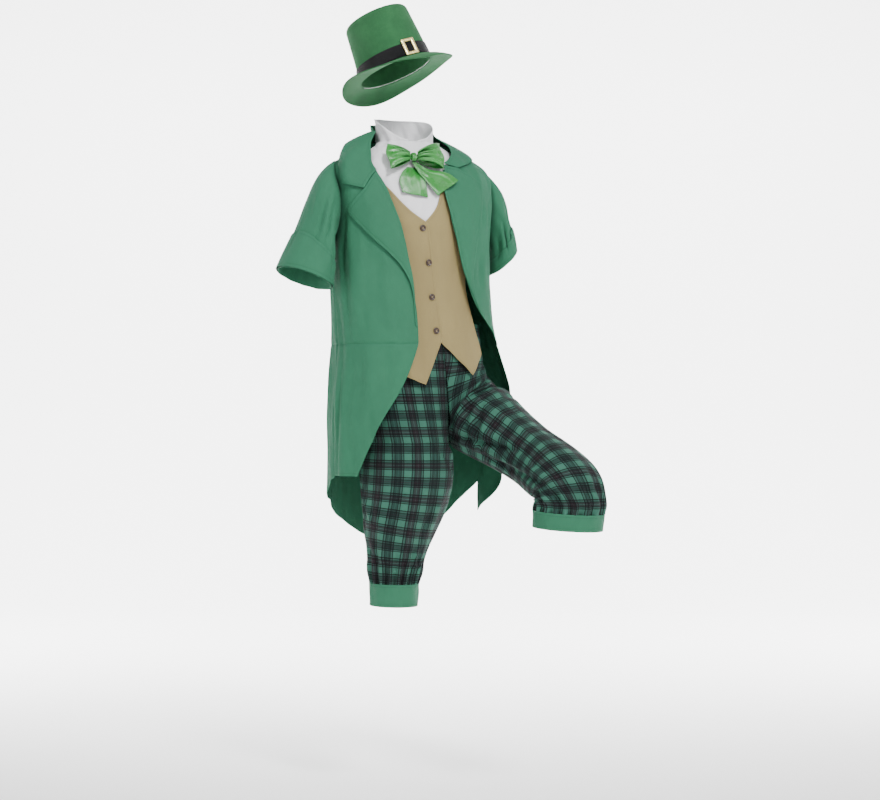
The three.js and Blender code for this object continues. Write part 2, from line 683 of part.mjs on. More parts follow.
// Four round buttons down the waistcoat, each with a raised rim.
const BUTTON = { radius: 7.2, thick: 2.6, rim: 1.8, dish: 0.9 };
const BUTTONS = [
  { angle: -9.8, z: -191 },
  { angle: -6.9, z: -267 },
  { angle: -6.5, z: -344 },
  { angle: -6.0, z: -420 },
];
BUTTONS.forEach(({ angle, z }, i) => {
  const { radius, thick, rim, dish } = BUTTON;
  const outline = [
    [0, 0],
    [radius - 0.8, 0],
    [radius, 0.8],
    [radius - 0.6, thick],
    [radius - rim, thick],
    [radius - rim - 0.8, thick - dish],
    [0, thick - dish],
  ];
  const geometry = turned(outline, 12);
  const out = outward(BODY_FORM, angle, z);
  geometry.applyQuaternion(new THREE.Quaternion().setFromUnitVectors(point(0, 0, 1), out));
  const foot = lifted(BODY_FORM, angle, z, VEST_LIFT + CLOTH + 2 * SEAM_GAP);
  geometry.translate(foot.x, foot.y, foot.z);
  add(`waistcoat_button_${i + 1}`, geometry, "button", { roughness: 0.45 });
});

// A solid turned about Z from an outline of (radius, height) that starts and ends on the axis.
// Its sections may be stretched by `shape`, which moves each point.
function turned(outline, segments, shape = (p) => p) {
  const points = [];
  const rings = outline.map(([radius, z]) => {
    const first = points.length;
    const count = radius === 0 ? 1 : segments;
    for (let i = 0; i < count; i++) {
      const a = (i / segments) * 2 * Math.PI;
      points.push(shape(point(radius * Math.sin(a), -radius * Math.cos(a), z)));
    }
    return { first, count };
  });
  const faces = [];
  for (let r = 0; r < rings.length - 1; r++) {
    const [low, high] = [rings[r], rings[r + 1]];
    for (let i = 0; i < segments; i++) {
      const at = (ring, k) => ring.first + (k % ring.count);
      if (low.count > 1) faces.push(at(low, i), at(low, i + 1), at(high, i));
      if (high.count > 1) faces.push(at(high, i), at(low, i + 1), at(high, i + 1));
    }
  }
  return facingOut(points, faces);
}

// Bow: two loops, a knot and two tails, on the shirt below the collar
const BOW = { angle: -12.4, z: -40, lift: 22 };
const bowFrame = (() => {
  const out = outward(BODY_FORM, BOW.angle, BOW.z);
  const across = point(0, 0, 1).cross(out).normalize().negate();
  const up = out.clone().cross(across).normalize();
  if (up.z < 0) up.negate();
  if (across.x < 0) across.negate();
  const centre = lifted(BODY_FORM, BOW.angle, BOW.z, BOW.lift);
  return (a, u, o) =>
    centre.clone().addScaledVector(across, a).addScaledVector(up, u).addScaledVector(out, o);
})();

const LOOPS = {
  right: { long: 62, rootTall: 9, tall: 33, rise: -2, back: 0 },
  left: { long: 72, rootTall: 9, tall: 34, rise: 8, back: -6 },
};
for (const side of [RIGHT, LEFT]) {
  const { long, rootTall, tall, rise, back } = LOOPS[sideName(side)];
  const start = 8.9; // half the width of the knot that the loops run into
  const surface = (path, share) => {
    const s = path / 60; // along the ribbon: 0 at the knot in front, 1 at the knot behind
    const out = Math.sin(Math.PI * s) ** 0.8;
    const half = rootTall + (tall - rootTall) * out ** 0.9;
    const across = side * (start + (long - start) * out);
    const up = 2 * share - 1;
    const belly = Math.cos(Math.PI * s) * (3.2 + 8 * Math.sin(Math.PI * out));
    const pleat = 1.6 * Math.cos(up * Math.PI * 2) * (1 - out);
    return bowFrame(across, up * half + rise * out, belly + back * out * out * 0.6 + pleat);
  };
  const along = shares(12).map((s) => s * 60);
  const rows = shares(5);
  const grid = (grow) =>
    rows.map((share) =>
      along.map((path) => {
        const p = surface(path, share);
        const e = 0.3;
        const behind = surface(Math.max(path - e, 0), share);
        const next = surface(Math.min(path + e, 60), share).sub(behind);
        const below = surface(path, Math.max(share - 0.01, 0));
        const up = surface(path, Math.min(share + 0.01, 1)).sub(below);
        const normal = next.cross(up).normalize();
        const turn = (Math.PI * path) / 60;
        const face = bowFrame(0, 0, 1).sub(bowFrame(0, 0, 0)).multiplyScalar(Math.cos(turn));
        const sideways = bowFrame(side, 0, 0).sub(bowFrame(0, 0, 0)).multiplyScalar(Math.sin(turn));
        const way = Math.sign(normal.dot(face.add(sideways))) || 1;
        return p.addScaledVector(normal, way * grow);
      }),
    );
  add(`bow_loop_${sideName(side)}`, wall(grid(0), grid(SATIN)), "satin", { roughness: 0.35 });
}

// The knot is a plump roll that pinches the loops.
const knotOutline = shares(8).map((s) => {
  const a = Math.PI * (s - 0.5);
  return [Math.abs(s % 1) < 1e-9 ? 0 : 8.4 * Math.cos(a) ** 0.6, 9.5 * Math.sin(a)];
});
const knot = turned(knotOutline, 16, (p) => bowFrame(p.x, p.z, p.y * 0.95 - 1));
add("bow_knot", knot, "satin", { roughness: 0.35 });

// The tails hang from behind the knot. Each one is raised off the chest by its own lift,
// by more at the root and by a flare towards its free corner.
const TAILS = {
  right: {
    lift: 3.1,
    root: 0,
    flare: 0,
    inner: [
      { share: 0, angle: -16.4, z: -54 },
      { share: 0.25, angle: -21, z: -69 },
      { share: 0.5, angle: -23.5, z: -84 },
      { share: 1, angle: -23, z: -113 },
    ],
    outer: [
      { share: 0, angle: -8.6, z: -55.5 },
      { share: 0.4, angle: -5.2, z: -82 },
      { share: 1, angle: -4, z: -122 },
    ],
  },
  left: {
    lift: 5.4,
    root: 7.5,
    flare: 21.8,
    inner: [
      { share: 0, angle: -13.6, z: -46 },
      { share: 0.4, angle: -6, z: -80 },
      { share: 1, angle: 3, z: -118 },
    ],
    outer: [
      { share: 0, angle: -9.9, z: -46 },
      { share: 0.25, angle: -1, z: -63 },
      { share: 0.5, angle: 8, z: -71 },
      { share: 1, angle: 17.5, z: -87 },
    ],
  },
};
for (const side of [RIGHT, LEFT]) {
  const { lift, root, flare, inner, outer } = TAILS[sideName(side)];
  const place = cut({ inner: edge(inner), outer: edge(outer) });
  const raised = (u, v) => {
    const wave = 1.4 * Math.cos(u * Math.PI * 3) * (0.4 + 0.6 * v) * Math.min(1, v * 4);
    const hung = root * (1 - smooth(v * 3)) + 5.4 * smooth(v * 2);
    return lift + hung + flare * smooth(u * 1.25) * smooth(v * 1.4) + wave;
  };
  const grid = (grow) =>
    shares(7).map((v) =>
      shares(6).map((u) => {
        const { angle, z } = place(u, v);
        return lifted(BODY_FORM, angle, z, raised(u, v) + grow);
      }),
    );
  add(`bow_tail_${sideName(side)}`, wall(grid(0), grid(SATIN)), "satin", { roughness: 0.35 });
}

// Breeches
// Each leg runs from the hips along the rows below: the middle of the leg, the way it runs,
// and its half width and half depth. The right leg stands and the left thigh is raised.
const HIP_TOP = -402;
const WAIST_LIFT = 2.4; // the waist stands out to the waistcoat that covers it
const LEGS = {
  right: {
    outer: point(-1, -0.06, 0),
    rows: [
      { share: 0.36, x: 50, y: -18, z: -672, dx: 0, dy: 0, dz: -1, wide: 95.4, deep: 98 },
      { share: 0.5, x: 50, y: -25, z: -740, dx: -0.03, dy: 0, dz: -1, wide: 108, deep: 100 },
      { share: 0.64, x: 43, y: -25, z: -806, dx: -0.1, dy: 0, dz: -1, wide: 99, deep: 96 },
      { share: 0.78, x: 32, y: -24, z: -872, dx: -0.15, dy: 0, dz: -1, wide: 81, deep: 84 },
      { share: 0.9, x: 25, y: -24, z: -935, dx: -0.08, dy: 0, dz: -1, wide: 64, deep: 70 },
      { share: 1, x: 21, y: -24, z: -993, dx: -0.02, dy: 0, dz: -1, wide: 54, deep: 58 },
    ],
  },
  left: {
    outer: point(0.78, 0.18, 0.6),
    rows: [
      { share: 0.36, x: 217, y: 4, z: -617, dx: 0.6, dy: -0.55, dz: -0.58, wide: 90, deep: 98 },
      { share: 0.5, x: 285.5, y: -39.5, z: -665, dx: 0.68, dy: -0.55, dz: -0.48, wide: 76, deep: 88 },
      { share: 0.62, x: 335.5, y: -81.5, z: -702, dx: 0.66, dy: -0.6, dz: -0.45, wide: 71, deep: 82 },
      { share: 0.74, x: 378.5, y: -134.5, z: -737.5, dx: 0.5, dy: -0.62, dz: -0.6, wide: 76, deep: 83 },
      { share: 0.86, x: 408, y: -172, z: -772, dx: 0.2, dy: -0.35, dz: -0.91, wide: 80, deep: 82 },
      { share: 0.94, x: 413, y: -181, z: -800, dx: 0, dy: 0, dz: -1, wide: 76, deep: 77 },
      { share: 1, x: 410, y: -180, z: -822, dx: -0.06, dy: 0.03, dz: -1, wide: 77, deep: 77 },
    ],
  },
};
const LEG_FOLDS = {
  right: ridges([
    { across: 60, down: 0.42, lean: 0, width: 30, length: 0.16, height: 7 },
    { across: 120, down: 0.5, lean: 0, width: 22, length: 0.2, height: -6 },
    { across: 210, down: 0.6, lean: 0, width: 30, length: 0.2, height: 7 },
    { across: 320, down: 0.5, lean: 0, width: 26, length: 0.2, height: -5 },
    { across: 95, down: 0.78, lean: 0, width: 24, length: 0.14, height: 6 },
    { across: 20, down: 0.82, lean: 0, width: 24, length: 0.12, height: 5 },
  ]),
  left: ridges([
    { across: 70, down: 0.36, lean: 0, width: 26, length: 0.12, height: -5 },
    { across: 112, down: 0.42, lean: 0, width: 24, length: 0.14, height: 4 },
    { across: 150, down: 0.38, lean: 0, width: 22, length: 0.14, height: -4 },
    { across: 100, down: 0.7, lean: 0, width: 34, length: 0.14, height: 5 },
    { across: 200, down: 0.8, lean: 0, width: 24, length: 0.1, height: -8 },
    { across: 30, down: 0.6, lean: 0, width: 28, length: 0.2, height: -5 },
  ]),
};
const GATHERS = { count: 7, high: 3.4, from: 0.8 };

// A ring of a leg: turn 0 is the side seam, 90 the front and 180 the inseam.
function legRing(side, turn, share, spread = 0) {
  const { outer, rows } = LEGS[sideName(side)];
  const at = (key) => column(rows, "share", key, Math.max(share, rows[0].share));
  const way = point(at("dx"), at("dy"), at("dz")).normalize();
  const aside = outer.clone().addScaledVector(way, -outer.dot(way)).normalize();
  const front = way.clone().cross(aside).multiplyScalar(side).normalize();
  const [c, s] = [Math.cos(turn * DEGREE), Math.sin(turn * DEGREE)];
  return point(at("x"), at("y"), at("z"))
    .addScaledVector(aside, (at("wide") + spread) * c)
    .addScaledVector(front, (at("deep") + spread) * s);
}

// A point of the breeches: the hips' half oval above, which turns into the leg's ring below.
function breechesPoint(side, turn, share) {
  const root = LEGS[sideName(side)].rows[0].share;
  const leg = smooth((share - 0.14) / (root - 0.14));
  const gather = GATHERS.high * smooth((share - GATHERS.from) / (1 - GATHERS.from));
  const fold = LEG_FOLDS[sideName(side)]((turn + 360) % 360, share);
  const spread = fold * smooth((share - 0.1) / 0.1) * smooth((1 - share) / 0.1);
  const ring = legRing(side, turn, share, spread + gather * Math.cos(GATHERS.count * turn * DEGREE));
  const seamTurn = 0.2; // the two legs' panels stop this far short of each other
  const z = HIP_TOP - 175 * Math.min(share / root, 1);
  const hipAngle = THREE.MathUtils.clamp(90 - turn / 2, seamTurn, 180 - seamTurn);
  const waist = WAIST_LIFT * (1 - smooth((share - 0.04) / 0.1));
  return mix(lifted(BODY_FORM, side * hipAngle, z, waist), ring, leg);
}

for (const side of [RIGHT, LEFT]) {
  const name = sideName(side);
  const surface = (turn, share) => breechesPoint(side, turn, share);
  const heart = (share) => mix(surface(90, share), surface(-90, share), 0.5);
  const clear = 0.25;
  const down = [0, 0.08, 0.15, 0.21, 0.26, 0.31, 0.36, 0.42, 0.51, 0.6, 0.69, 0.78, 0.86, 0.93, 1];
  const front = shares(12).map((s) => clear + s * (180 - 2 * clear));
  add(`breeches_front_${name}`, skin(surface, front, down, -CLOTH, heart), "check");
  add(`breeches_back_${name}`, skin(surface, front.map((t) => -t), down, -CLOTH, heart), "check");

  // The plain knee band takes the gathers up.
  const last = LEGS[name].rows[LEGS[name].rows.length - 1];
  const way = point(last.dx, last.dy, last.dz).normalize();
  const tall = side === RIGHT ? 50 : 36;
  const hoop = (turn, share) =>
    legRing(side, turn, 1, 1 - 1.5 * share).addScaledVector(way, 0.6 + share * tall);
  const middle = (share) => mix(hoop(0, share), hoop(180, share), 0.5);
  const round = ringTurns(26);
  add(`knee_band_${name}`, skin(hoop, round, [0, 0.5, 1], 2, middle, true), "coat");
}

// Hat
// It stands above the neck and leans to one side. Each part of it is made upright and then placed.
const HAT = { base: point(24, -10, 180), lean: -19, back: 4, turn: 27, front: 100, side: 83 };
const CROWN = { tall: 132, taper: 0.86, roundedOver: 9 };
const hatPlace = (() => {
  const tilt = new THREE.Matrix4().makeRotationY(HAT.lean * DEGREE);
  const turn = new THREE.Matrix4().makeRotationZ(HAT.turn * DEGREE);
  const pitch = new THREE.Matrix4().makeRotationX(-HAT.back * DEGREE);
  const placed = new THREE.Matrix4().makeTranslation(HAT.base);
  placed.multiply(tilt).multiply(turn).multiply(pitch);
  return (p) => p.applyMatrix4(placed);
})();
const oval = (grow) => (p) => {
  const r = Math.hypot(p.x, p.y);
  if (r < 1e-9) return hatPlace(p);
  const [sx, sy] = [p.x / r, p.y / r];
  return hatPlace(point(sx * (HAT.side * r + grow), sy * (HAT.front * r + grow), p.z));
};

// The crown narrows upwards and its top edge is rounded.
const narrowed = (z) => 1 - (1 - CROWN.taper) * (z / CROWN.tall);
function crown() {
  const { tall, taper, roundedOver } = CROWN;
  const rounding = shares(3).map((s) => {
    const a = s * 90 * DEGREE;
    return [taper - 0.1 * (1 - Math.cos(a)), tall - roundedOver + roundedOver * Math.sin(a)];
  });
  const wall = shares(3).map((s) => s * (tall - roundedOver));
  const outside = [...wall.map((z) => [narrowed(z), z]), ...rounding.slice(1)];
  const inside = outside.map(([r, z]) => {
    const below = z > tall - roundedOver - 1 ? FELT : 0;
    return [r - FELT / 90, Math.max(z - below, 0)];
  });
  const under = [[0, tall - FELT], [0.4, tall - FELT]];
  return [...under, ...inside.reverse(), ...outside, [0.4, tall], [0, tall]];
}
add("hat_crown", turned(crown(), 30, oval(0)), "hat", { roughness: 0.95 });

// The brim dips before and behind and rises at the sides.
const BRIM = { width: 46 };
const BRIM_DIPS = [
  { angle: 0, dip: -23 },
  { angle: 45, dip: -20 },
  { angle: 90, dip: -8 },
  { angle: 135, dip: -16 },
  { angle: 180, dip: -28 },
  { angle: 225, dip: -16 },
  { angle: 270, dip: 4 },
  { angle: 315, dip: -6 },
  { angle: 360, dip: -23 },
];
const brimSurface = (turn, share) => {
  const [s, c] = [Math.sin(turn * DEGREE), Math.cos(turn * DEGREE)];
  const curl = 0.35 * share + 0.65 * share * share;
  const dip = column(BRIM_DIPS, "angle", "dip", (turn + 360) % 360) * curl;
  const reach = 0.6 + BRIM.width * share;
  return hatPlace(point(s * (HAT.side + reach), -c * (HAT.front + reach), dip));
};
const aboveBrim = () => hatPlace(point(0, 0, 400));
const brim = skin(brimSurface, ringTurns(32), shares(3), FELT, aboveBrim, true);
add("hat_brim", brim, "hat", { roughness: 0.95 });

// A ribbon goes round the foot of the crown, and the buckle sits on it in front.
const BAND = { from: 3.4, tall: 28, thick: 1.2 };
const bandSurface = (turn, share) => {
  const z = BAND.from + BAND.tall * share;
  const across = HAT.side * narrowed(z) + 0.6;
  const ahead = HAT.front * narrowed(z) + 0.6;
  return hatPlace(point(Math.sin(turn * DEGREE) * across, -Math.cos(turn * DEGREE) * ahead, z));
};
const insideBand = (share) => hatPlace(point(0, 0, BAND.from + BAND.tall * share));
const band = skin(bandSurface, ringTurns(30), [0, 1], BAND.thick, insideBand, true);
add("hat_band", band, "band", { roughness: 0.6 });

const BUCKLE = { wide: 33, tall: 41, rim: 8.5, thick: 2.4, up: 3 };
function buckle() {
  const { wide, tall, rim, thick } = BUCKLE;
  const [w, h] = [wide / 2, tall / 2];
  const [hw, ht] = [w - rim, h - rim];
  const frame = new THREE.Shape();
  frame.moveTo(-w, -h).lineTo(w, -h).lineTo(w, h).lineTo(-w, h).closePath();
  const hole = new THREE.Path();
  hole.moveTo(-hw, -ht).lineTo(-hw, ht).lineTo(hw, ht).lineTo(hw, -ht).closePath();
  frame.holes.push(hole);
  const geometry = new THREE.ExtrudeGeometry(frame, { depth: thick, bevelEnabled: false });
  geometry.rotateX(90 * DEGREE);
  geometry.rotateX(-7 * DEGREE);
  const z = BAND.from + BAND.tall / 2;
  const ahead = HAT.front * narrowed(z) + 0.6 + BAND.thick + 1.6;
  geometry.translate(0, -ahead, z + BUCKLE.up);
  const position = geometry.attributes.position;
  const p = point(0, 0, 0);
  for (let i = 0; i < position.count; i++) {
    p.fromBufferAttribute(position, i);
    hatPlace(p);
    position.setXYZ(i, p.x, p.y, p.z);
  }
  geometry.computeVertexNormals();
  return geometry;
}
add("hat_buckle", buckle(), "buckle", { roughness: 0.35, metalness: 1 });

export default costume;
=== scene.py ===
# %% [markdown]
# # A leprechaun costume, dressed with cloth
# This lesson dresses a set of plain solids as a stage costume: a green tailcoat, a beige waistcoat, a
# white shirt front, a satin bow, checked breeches and a felt top hat. Every garment is a cut panel that
# is bent over a form, so it is made here the way a tailor thinks: a flat shape, a form that it is laid
# on, and the folds that the cloth takes. A simulation could find the folds too, but it would not put
# them where this costume has them, so they are drawn from short tables.
# Lengths in the tables are millimetres, and they become metres when a mesh is made.

# %% The frame
import math
import bmesh
import bpy
import numpy as np
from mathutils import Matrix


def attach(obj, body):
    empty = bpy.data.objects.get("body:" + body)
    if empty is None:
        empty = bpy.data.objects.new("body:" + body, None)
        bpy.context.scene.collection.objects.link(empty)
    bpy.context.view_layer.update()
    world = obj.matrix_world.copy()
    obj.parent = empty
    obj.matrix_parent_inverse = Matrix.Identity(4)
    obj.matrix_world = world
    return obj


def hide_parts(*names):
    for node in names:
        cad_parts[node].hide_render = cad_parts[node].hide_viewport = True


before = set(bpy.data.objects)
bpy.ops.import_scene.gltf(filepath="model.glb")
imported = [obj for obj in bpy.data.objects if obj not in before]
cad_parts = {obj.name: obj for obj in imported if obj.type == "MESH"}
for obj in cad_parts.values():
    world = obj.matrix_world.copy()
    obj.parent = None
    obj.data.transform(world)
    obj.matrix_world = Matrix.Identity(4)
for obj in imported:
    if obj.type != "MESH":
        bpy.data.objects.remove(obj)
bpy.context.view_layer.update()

RIGHT, LEFT = -1, 1
SIDES = {"right": RIGHT, "left": LEFT}
CLOTH, SATIN, FELT = 1.6, 1.2, 2.4  # wall thicknesses

# %% [markdown]
# ## Smooth curves through short tables
# A pattern cutter marks a few points and joins them with a curved ruler. The helper below is that
# ruler: it goes through every row of a table and bends smoothly between them. A row that is named as
# a corner keeps its corner. It works on whole arrays, so one call gives a panel's every point.

# %% The curved ruler
def curve(rows, corners=()):
    table = np.array(sorted(rows), float)
    at, values = table[:, 0], table[:, 1:]
    gap = np.diff(at)[:, None]
    rate = np.diff(values, axis=0) / gap
    inner = (rate[:-1] * gap[1:] + rate[1:] * gap[:-1]) / (gap[:-1] + gap[1:])
    arriving = np.vstack([rate[:1], inner, rate[-1:]])
    leaving = arriving.copy()
    for i in corners:
        arriving[i], leaving[i] = rate[i - 1], rate[i]

    def value(x):
        x = np.asarray(x, float)
        i = np.clip(np.searchsorted(at, x, side="right") - 1, 0, len(at) - 2)
        span = gap[i]
        s = np.clip((x[..., None] - at[i][..., None]) / span, 0, 1)
        near = (2 * s**3 - 3 * s**2 + 1) * values[i] + (s**3 - 2 * s**2 + s) * span * leaving[i]
        far = (3 * s**2 - 2 * s**3) * values[i + 1] + (s**3 - s**2) * span * arriving[i + 1]
        return near + far

    return value


def smooth(s):
    s = np.clip(s, 0, 1)
    return s * s * (3 - 2 * s)


def unit(v):
    return v / np.maximum(np.linalg.norm(v, axis=-1, keepdims=True), 1e-12)


def xyz(x, y, z):
    return np.stack(np.broadcast_arrays(x, y, z), axis=-1).astype(float)


# %% [markdown]
# ## The two forms
# A tailor drapes on a dress form. Here there are two: a slimmer one for the shirt, the waistcoat and
# the hips of the breeches, and a fuller one that the coat hangs on. Each row gives a height, the middle
# of the section, its half width and half depth, and how far the trunk is turned.

# %% Dress forms
coat_form = curve([  # z, x, y, wide, deep, turn
    (62, 41, 6, 71, 66, 24), (22, 44, 4, 72, 66, 24), (8, 46, 4, 96, 76, 25),
    (-8, 48, 3, 126, 88, 25), (-25, 50, 2, 156, 100, 26), (-42, 51, 1, 181, 110, 26),
    (-65, 52, 0, 195, 119, 26), (-110, 54, 0, 196, 130, 27), (-160, 55, 0, 191, 137, 27),
    (-220, 56, 0, 187, 141, 27), (-320, 58, 0, 185, 143, 28), (-450, 62, 2, 185, 146, 30),
    (-600, 60, 4, 190, 156, 30), (-750, 58, 4, 189, 156, 30), (-900, 56, 6, 190, 154, 30),
])
body_form = curve([
    (12, 42, 0, 62, 58, 22), (-3, 45, 0, 92, 70, 24), (-20, 48, 0, 124, 82, 25),
    (-38, 50, 0, 152, 92, 26), (-58, 52, 0, 170, 101, 26), (-110, 54, 0, 178, 114, 27),
    (-160, 55, 0, 176, 120, 27), (-220, 56, 0, 171, 122, 28), (-320, 60, 0, 158, 116, 30),
    (-400, 66, 0, 152, 112, 32), (-460, 72, 0, 156, 112, 33), (-560, 84, 0, 166, 116, 35),
])


def form_point(form, angle, z):
    """The point at an angle from the front, positive to the left, and a height."""
    x, y, wide, deep, turn = np.moveaxis(form(z), -1, 0)
    a, t = np.radians(angle), np.radians(turn)
    fuller = 1 + 0.05 * np.sin(2 * a) ** 2
    across, ahead = wide * np.sin(a) * fuller, deep * np.cos(a) * fuller
    return xyz(x + across * np.cos(t) + ahead * np.sin(t), y + across * np.sin(t) - ahead * np.cos(t), z)


def outward(form, angle, z):
    angle, z = np.asarray(angle, float), np.asarray(z, float)
    along = form_point(form, angle + 0.5, z) - form_point(form, angle - 0.5, z)
    rise = form_point(form, angle, z + 0.5) - form_point(form, angle, z - 0.5)
    return unit(np.cross(along, rise))


def lifted(form, angle, z, lift):
    return form_point(form, angle, z) + outward(form, angle, z) * np.asarray(lift)[..., None]


print("coat chest", form_point(coat_form, 0, -200), "body chest", form_point(body_form, 0, -200))

# %% [markdown]
# ## Folds
# A soft fold is a long low ridge, and a dent is the same thing below the surface. Each row of a fold
# table says where the ridge is, how it leans, how wide and long it is and how high it stands. Under
# them lies a faint ripple, a few waves of different lengths added up, because no cloth hangs quite
# flat. The waves start from fixed numbers, so the costume is the same each time it is made.

# %% Ridges and ripples
def ridges(rows, around=None, downward=1.0):
    """The height of all ridges of a table. With `around`, the first column is a turn in degrees and
    `around` and `downward` are the millimetres that one degree and one share stand for."""
    def height(across, down):
        total = np.zeros(np.broadcast(across, down).shape)
        for mid, level, lean, width, length, tall in rows:
            dx, dy = across - mid, (down - level) * downward
            if around:
                dx = ((dx + 180) % 360 - 180) * around
            c, s = math.cos(math.radians(lean)), math.sin(math.radians(lean))
            total += tall * np.exp(-(((dx * c - dy * s) / width) ** 2) - ((dx * s + dy * c) / length) ** 2)
        return total

    return height


def ripple(seed, wide, tall, waves=9, lean=0):
    draw = np.random.default_rng(seed)
    c, s = math.cos(math.radians(lean)), math.sin(math.radians(lean))
    parts = [(draw.uniform(0.6, 1.5), draw.uniform(-1.1, 1.1), draw.uniform(0, 2 * math.pi))
             for _ in range(waves)]

    def height(across, down):
        a, d = across * c - down * s, across * s + down * c
        return sum(np.sin(2 * math.pi * (k * a / wide + m * d / tall) + p) for k, m, p in parts) / waves**0.5

    return height


# %% [markdown]
# ## From a grid of points to a cloth mesh
# Each panel is a grid of points on its inner face and one on its outer face. The mesh joins them with
# a narrow rounded rim, so a hem catches the light as a folded edge does. It also carries two maps in
# metres. The second, `edge`, tells how far a point is from the nearest edge, and the stitching is
# drawn from it. A Solidify modifier would give the wall too, but not a rim of this shape nor these
# maps.

# %% The cloth maker
made = {}  # each cloth's flat size and area


def placed(name, data):
    """A new object in the scene that holds the data."""
    item = bpy.data.objects.new(name, data)
    bpy.context.scene.collection.objects.link(item)
    return item


def tidy_up(mesh):
    """Joins doubled points, turns every face outwards and shades it smooth."""
    work = bmesh.new()
    work.from_mesh(mesh)
    bmesh.ops.remove_doubles(work, verts=work.verts, dist=1e-6)
    bmesh.ops.recalc_face_normals(work, faces=work.faces)
    for face in work.faces:
        face.smooth = True
    work.to_mesh(mesh)
    work.free()


def solid(name, points, faces):
    """A smooth closed object from points in millimetres."""
    mesh = bpy.data.meshes.new(name)
    mesh.from_pydata((np.asarray(points, float) / 1000).tolist(), [], faces)
    tidy_up(mesh)
    return placed(name, mesh)


def run_length(points, axis, start):
    """Length along rows (axis 1) or columns (axis 0), counted from the line with index `start`."""
    step = np.linalg.norm(np.diff(points, axis=axis), axis=-1)
    pad = [(0, 0), (0, 0)]
    pad[axis] = (1, 0)
    total = np.pad(np.cumsum(step, axis=axis), pad)
    return total - np.take(total, [start], axis=axis)


def cloth_mesh(name, inner, outer, closed=False, middle=None, edges="all", rim=0.45):
    """A wall between two grids [row][column]. A closed one joins its last column to its first."""
    rows, cols = outer.shape[:2]
    wide = cols + 1 if closed else cols
    full = np.concatenate([outer, outer[:, :1]], axis=1) if closed else outer
    middle = wide // 2 if middle is None else middle
    across = run_length(full, 1, middle)
    down = np.repeat(run_length(full, 0, 0)[:, middle:middle + 1], wide, axis=1)
    sides = np.minimum(across - across[:, :1], across[:, -1:] - across)
    columns = run_length(full, 0, 0)
    ends = np.minimum(columns, columns[-1:] - columns)
    near = {"all": np.minimum(sides, ends), "ends": ends, "sides": sides, "hem": columns[-1:] - columns,
            "none": np.full_like(sides, 9e3)}[edges]
    along_edge = np.where(near == sides, columns, across)
    layer = rows * cols

    def ring(row, column):
        return row * cols + column % cols

    points = [inner.reshape(-1, 3), outer.reshape(-1, 3)]
    faces, maps = [], []
    r, c = np.meshgrid(np.arange(rows - 1), np.arange(wide - 1), indexing="ij")
    r, c = r.ravel(), c.ravel()
    corners = [(r, c), (r + 1, c), (r + 1, c + 1), (r, c + 1)]
    faces += [np.stack([layer + ring(*k) for k in corners], axis=1),
              np.stack([ring(*k) for k in reversed(corners)], axis=1)]
    maps += [np.stack([k[0] * wide + k[1] for k in ks], axis=1) for ks in (corners, corners[::-1])]

    def border(path):
        """A rounded rim along a path of (row, column), bulging a little past the edge."""
        path = np.array(path)
        a, b = inner[path[:, 0], path[:, 1] % cols], outer[path[:, 0], path[:, 1] % cols]
        step = np.zeros_like(path)
        step[:, 0] = np.where(path[:, 0] == 0, 1, np.where(path[:, 0] == rows - 1, -1, 0))
        if not closed:
            step[:, 1] = np.where(path[:, 1] == 0, 1, np.where(path[:, 1] == cols - 1, -1, 0))
        back = outer[path[:, 0] + step[:, 0], (path[:, 1] + step[:, 1]) % cols]
        thick = np.linalg.norm(b - a, axis=-1, keepdims=True)
        bulge = unit(b - back) * thick * rim
        first = sum(len(p) for p in points)
        points.extend(a * (1 - s) + b * s + bulge * 0.8 for s in (0.28, 0.72))
        n = len(path)
        loops = [ring(path[:, 0], path[:, 1]), first + np.arange(n), first + n + np.arange(n),
                 layer + ring(path[:, 0], path[:, 1])]
        at = path[:, 0] * wide + path[:, 1]
        i = np.arange(n - 1)
        for p, q in zip(loops[:-1], loops[1:]):
            faces.append(np.stack([p[i], p[i + 1], q[i + 1], q[i]], axis=1))
            maps.append(np.stack([at[i], at[i + 1], at[i + 1], at[i]], axis=1))

    if closed:
        for row in (0, rows - 1):
            path = [(row, k) for k in range(wide)]
            border(path if row else path[::-1])
    else:
        round_it = [(0, k) for k in range(cols - 1, 0, -1)] + [(k, 0) for k in range(rows - 1)]
        round_it += [(rows - 1, k) for k in range(cols - 1)]
        round_it += [(k, cols - 1) for k in range(rows - 1, -1, -1)]
        border(round_it)
    points, faces, maps = np.concatenate(points), np.concatenate(faces), np.concatenate(maps)
    mesh = bpy.data.meshes.new(name)
    mesh.from_pydata((points / 1000).tolist(), [], faces.tolist())
    for title, u, v in (("cloth", across, down), ("edge", near, along_edge)):
        flat = np.stack([u.ravel(), v.ravel()], axis=1)[maps.ravel()] / 1000
        mesh.uv_layers.new(name=title).data.foreach_set("uv", flat.ravel())
    tidy_up(mesh)
    width, length = float(across[:, -1].max() - across[:, 0].min()), float(columns[-1].max())
    patch = np.linalg.norm(np.cross(full[1:, :-1] - full[:-1, :-1], full[:-1, 1:] - full[:-1, :-1]), axis=-1)
    made[name] = {"flat": (width / 1000, length / 1000), "area": float(patch.sum()) / 1e6}
    return placed(name, mesh)


def dress(piece, node, material, held=None):
    """Rides the piece on the body, hides the plain solid, gives it its material and prints a held piece's
    flat size.
    """
    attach(piece, "root")
    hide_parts(*([node] if isinstance(node, str) else node))
    piece.data.materials.clear()
    piece.data.materials.append(material)
    facts = made.get(piece.name)
    if held and facts:
        width, length = facts["flat"]
        area = min(max(facts["area"], 0.31 * width * length), width * length)
        count = len(piece.data.polygons)
        print(f"{piece.name}: {width * 1000:.0f} x {length * 1000:.0f} mm flat, {count} faces")


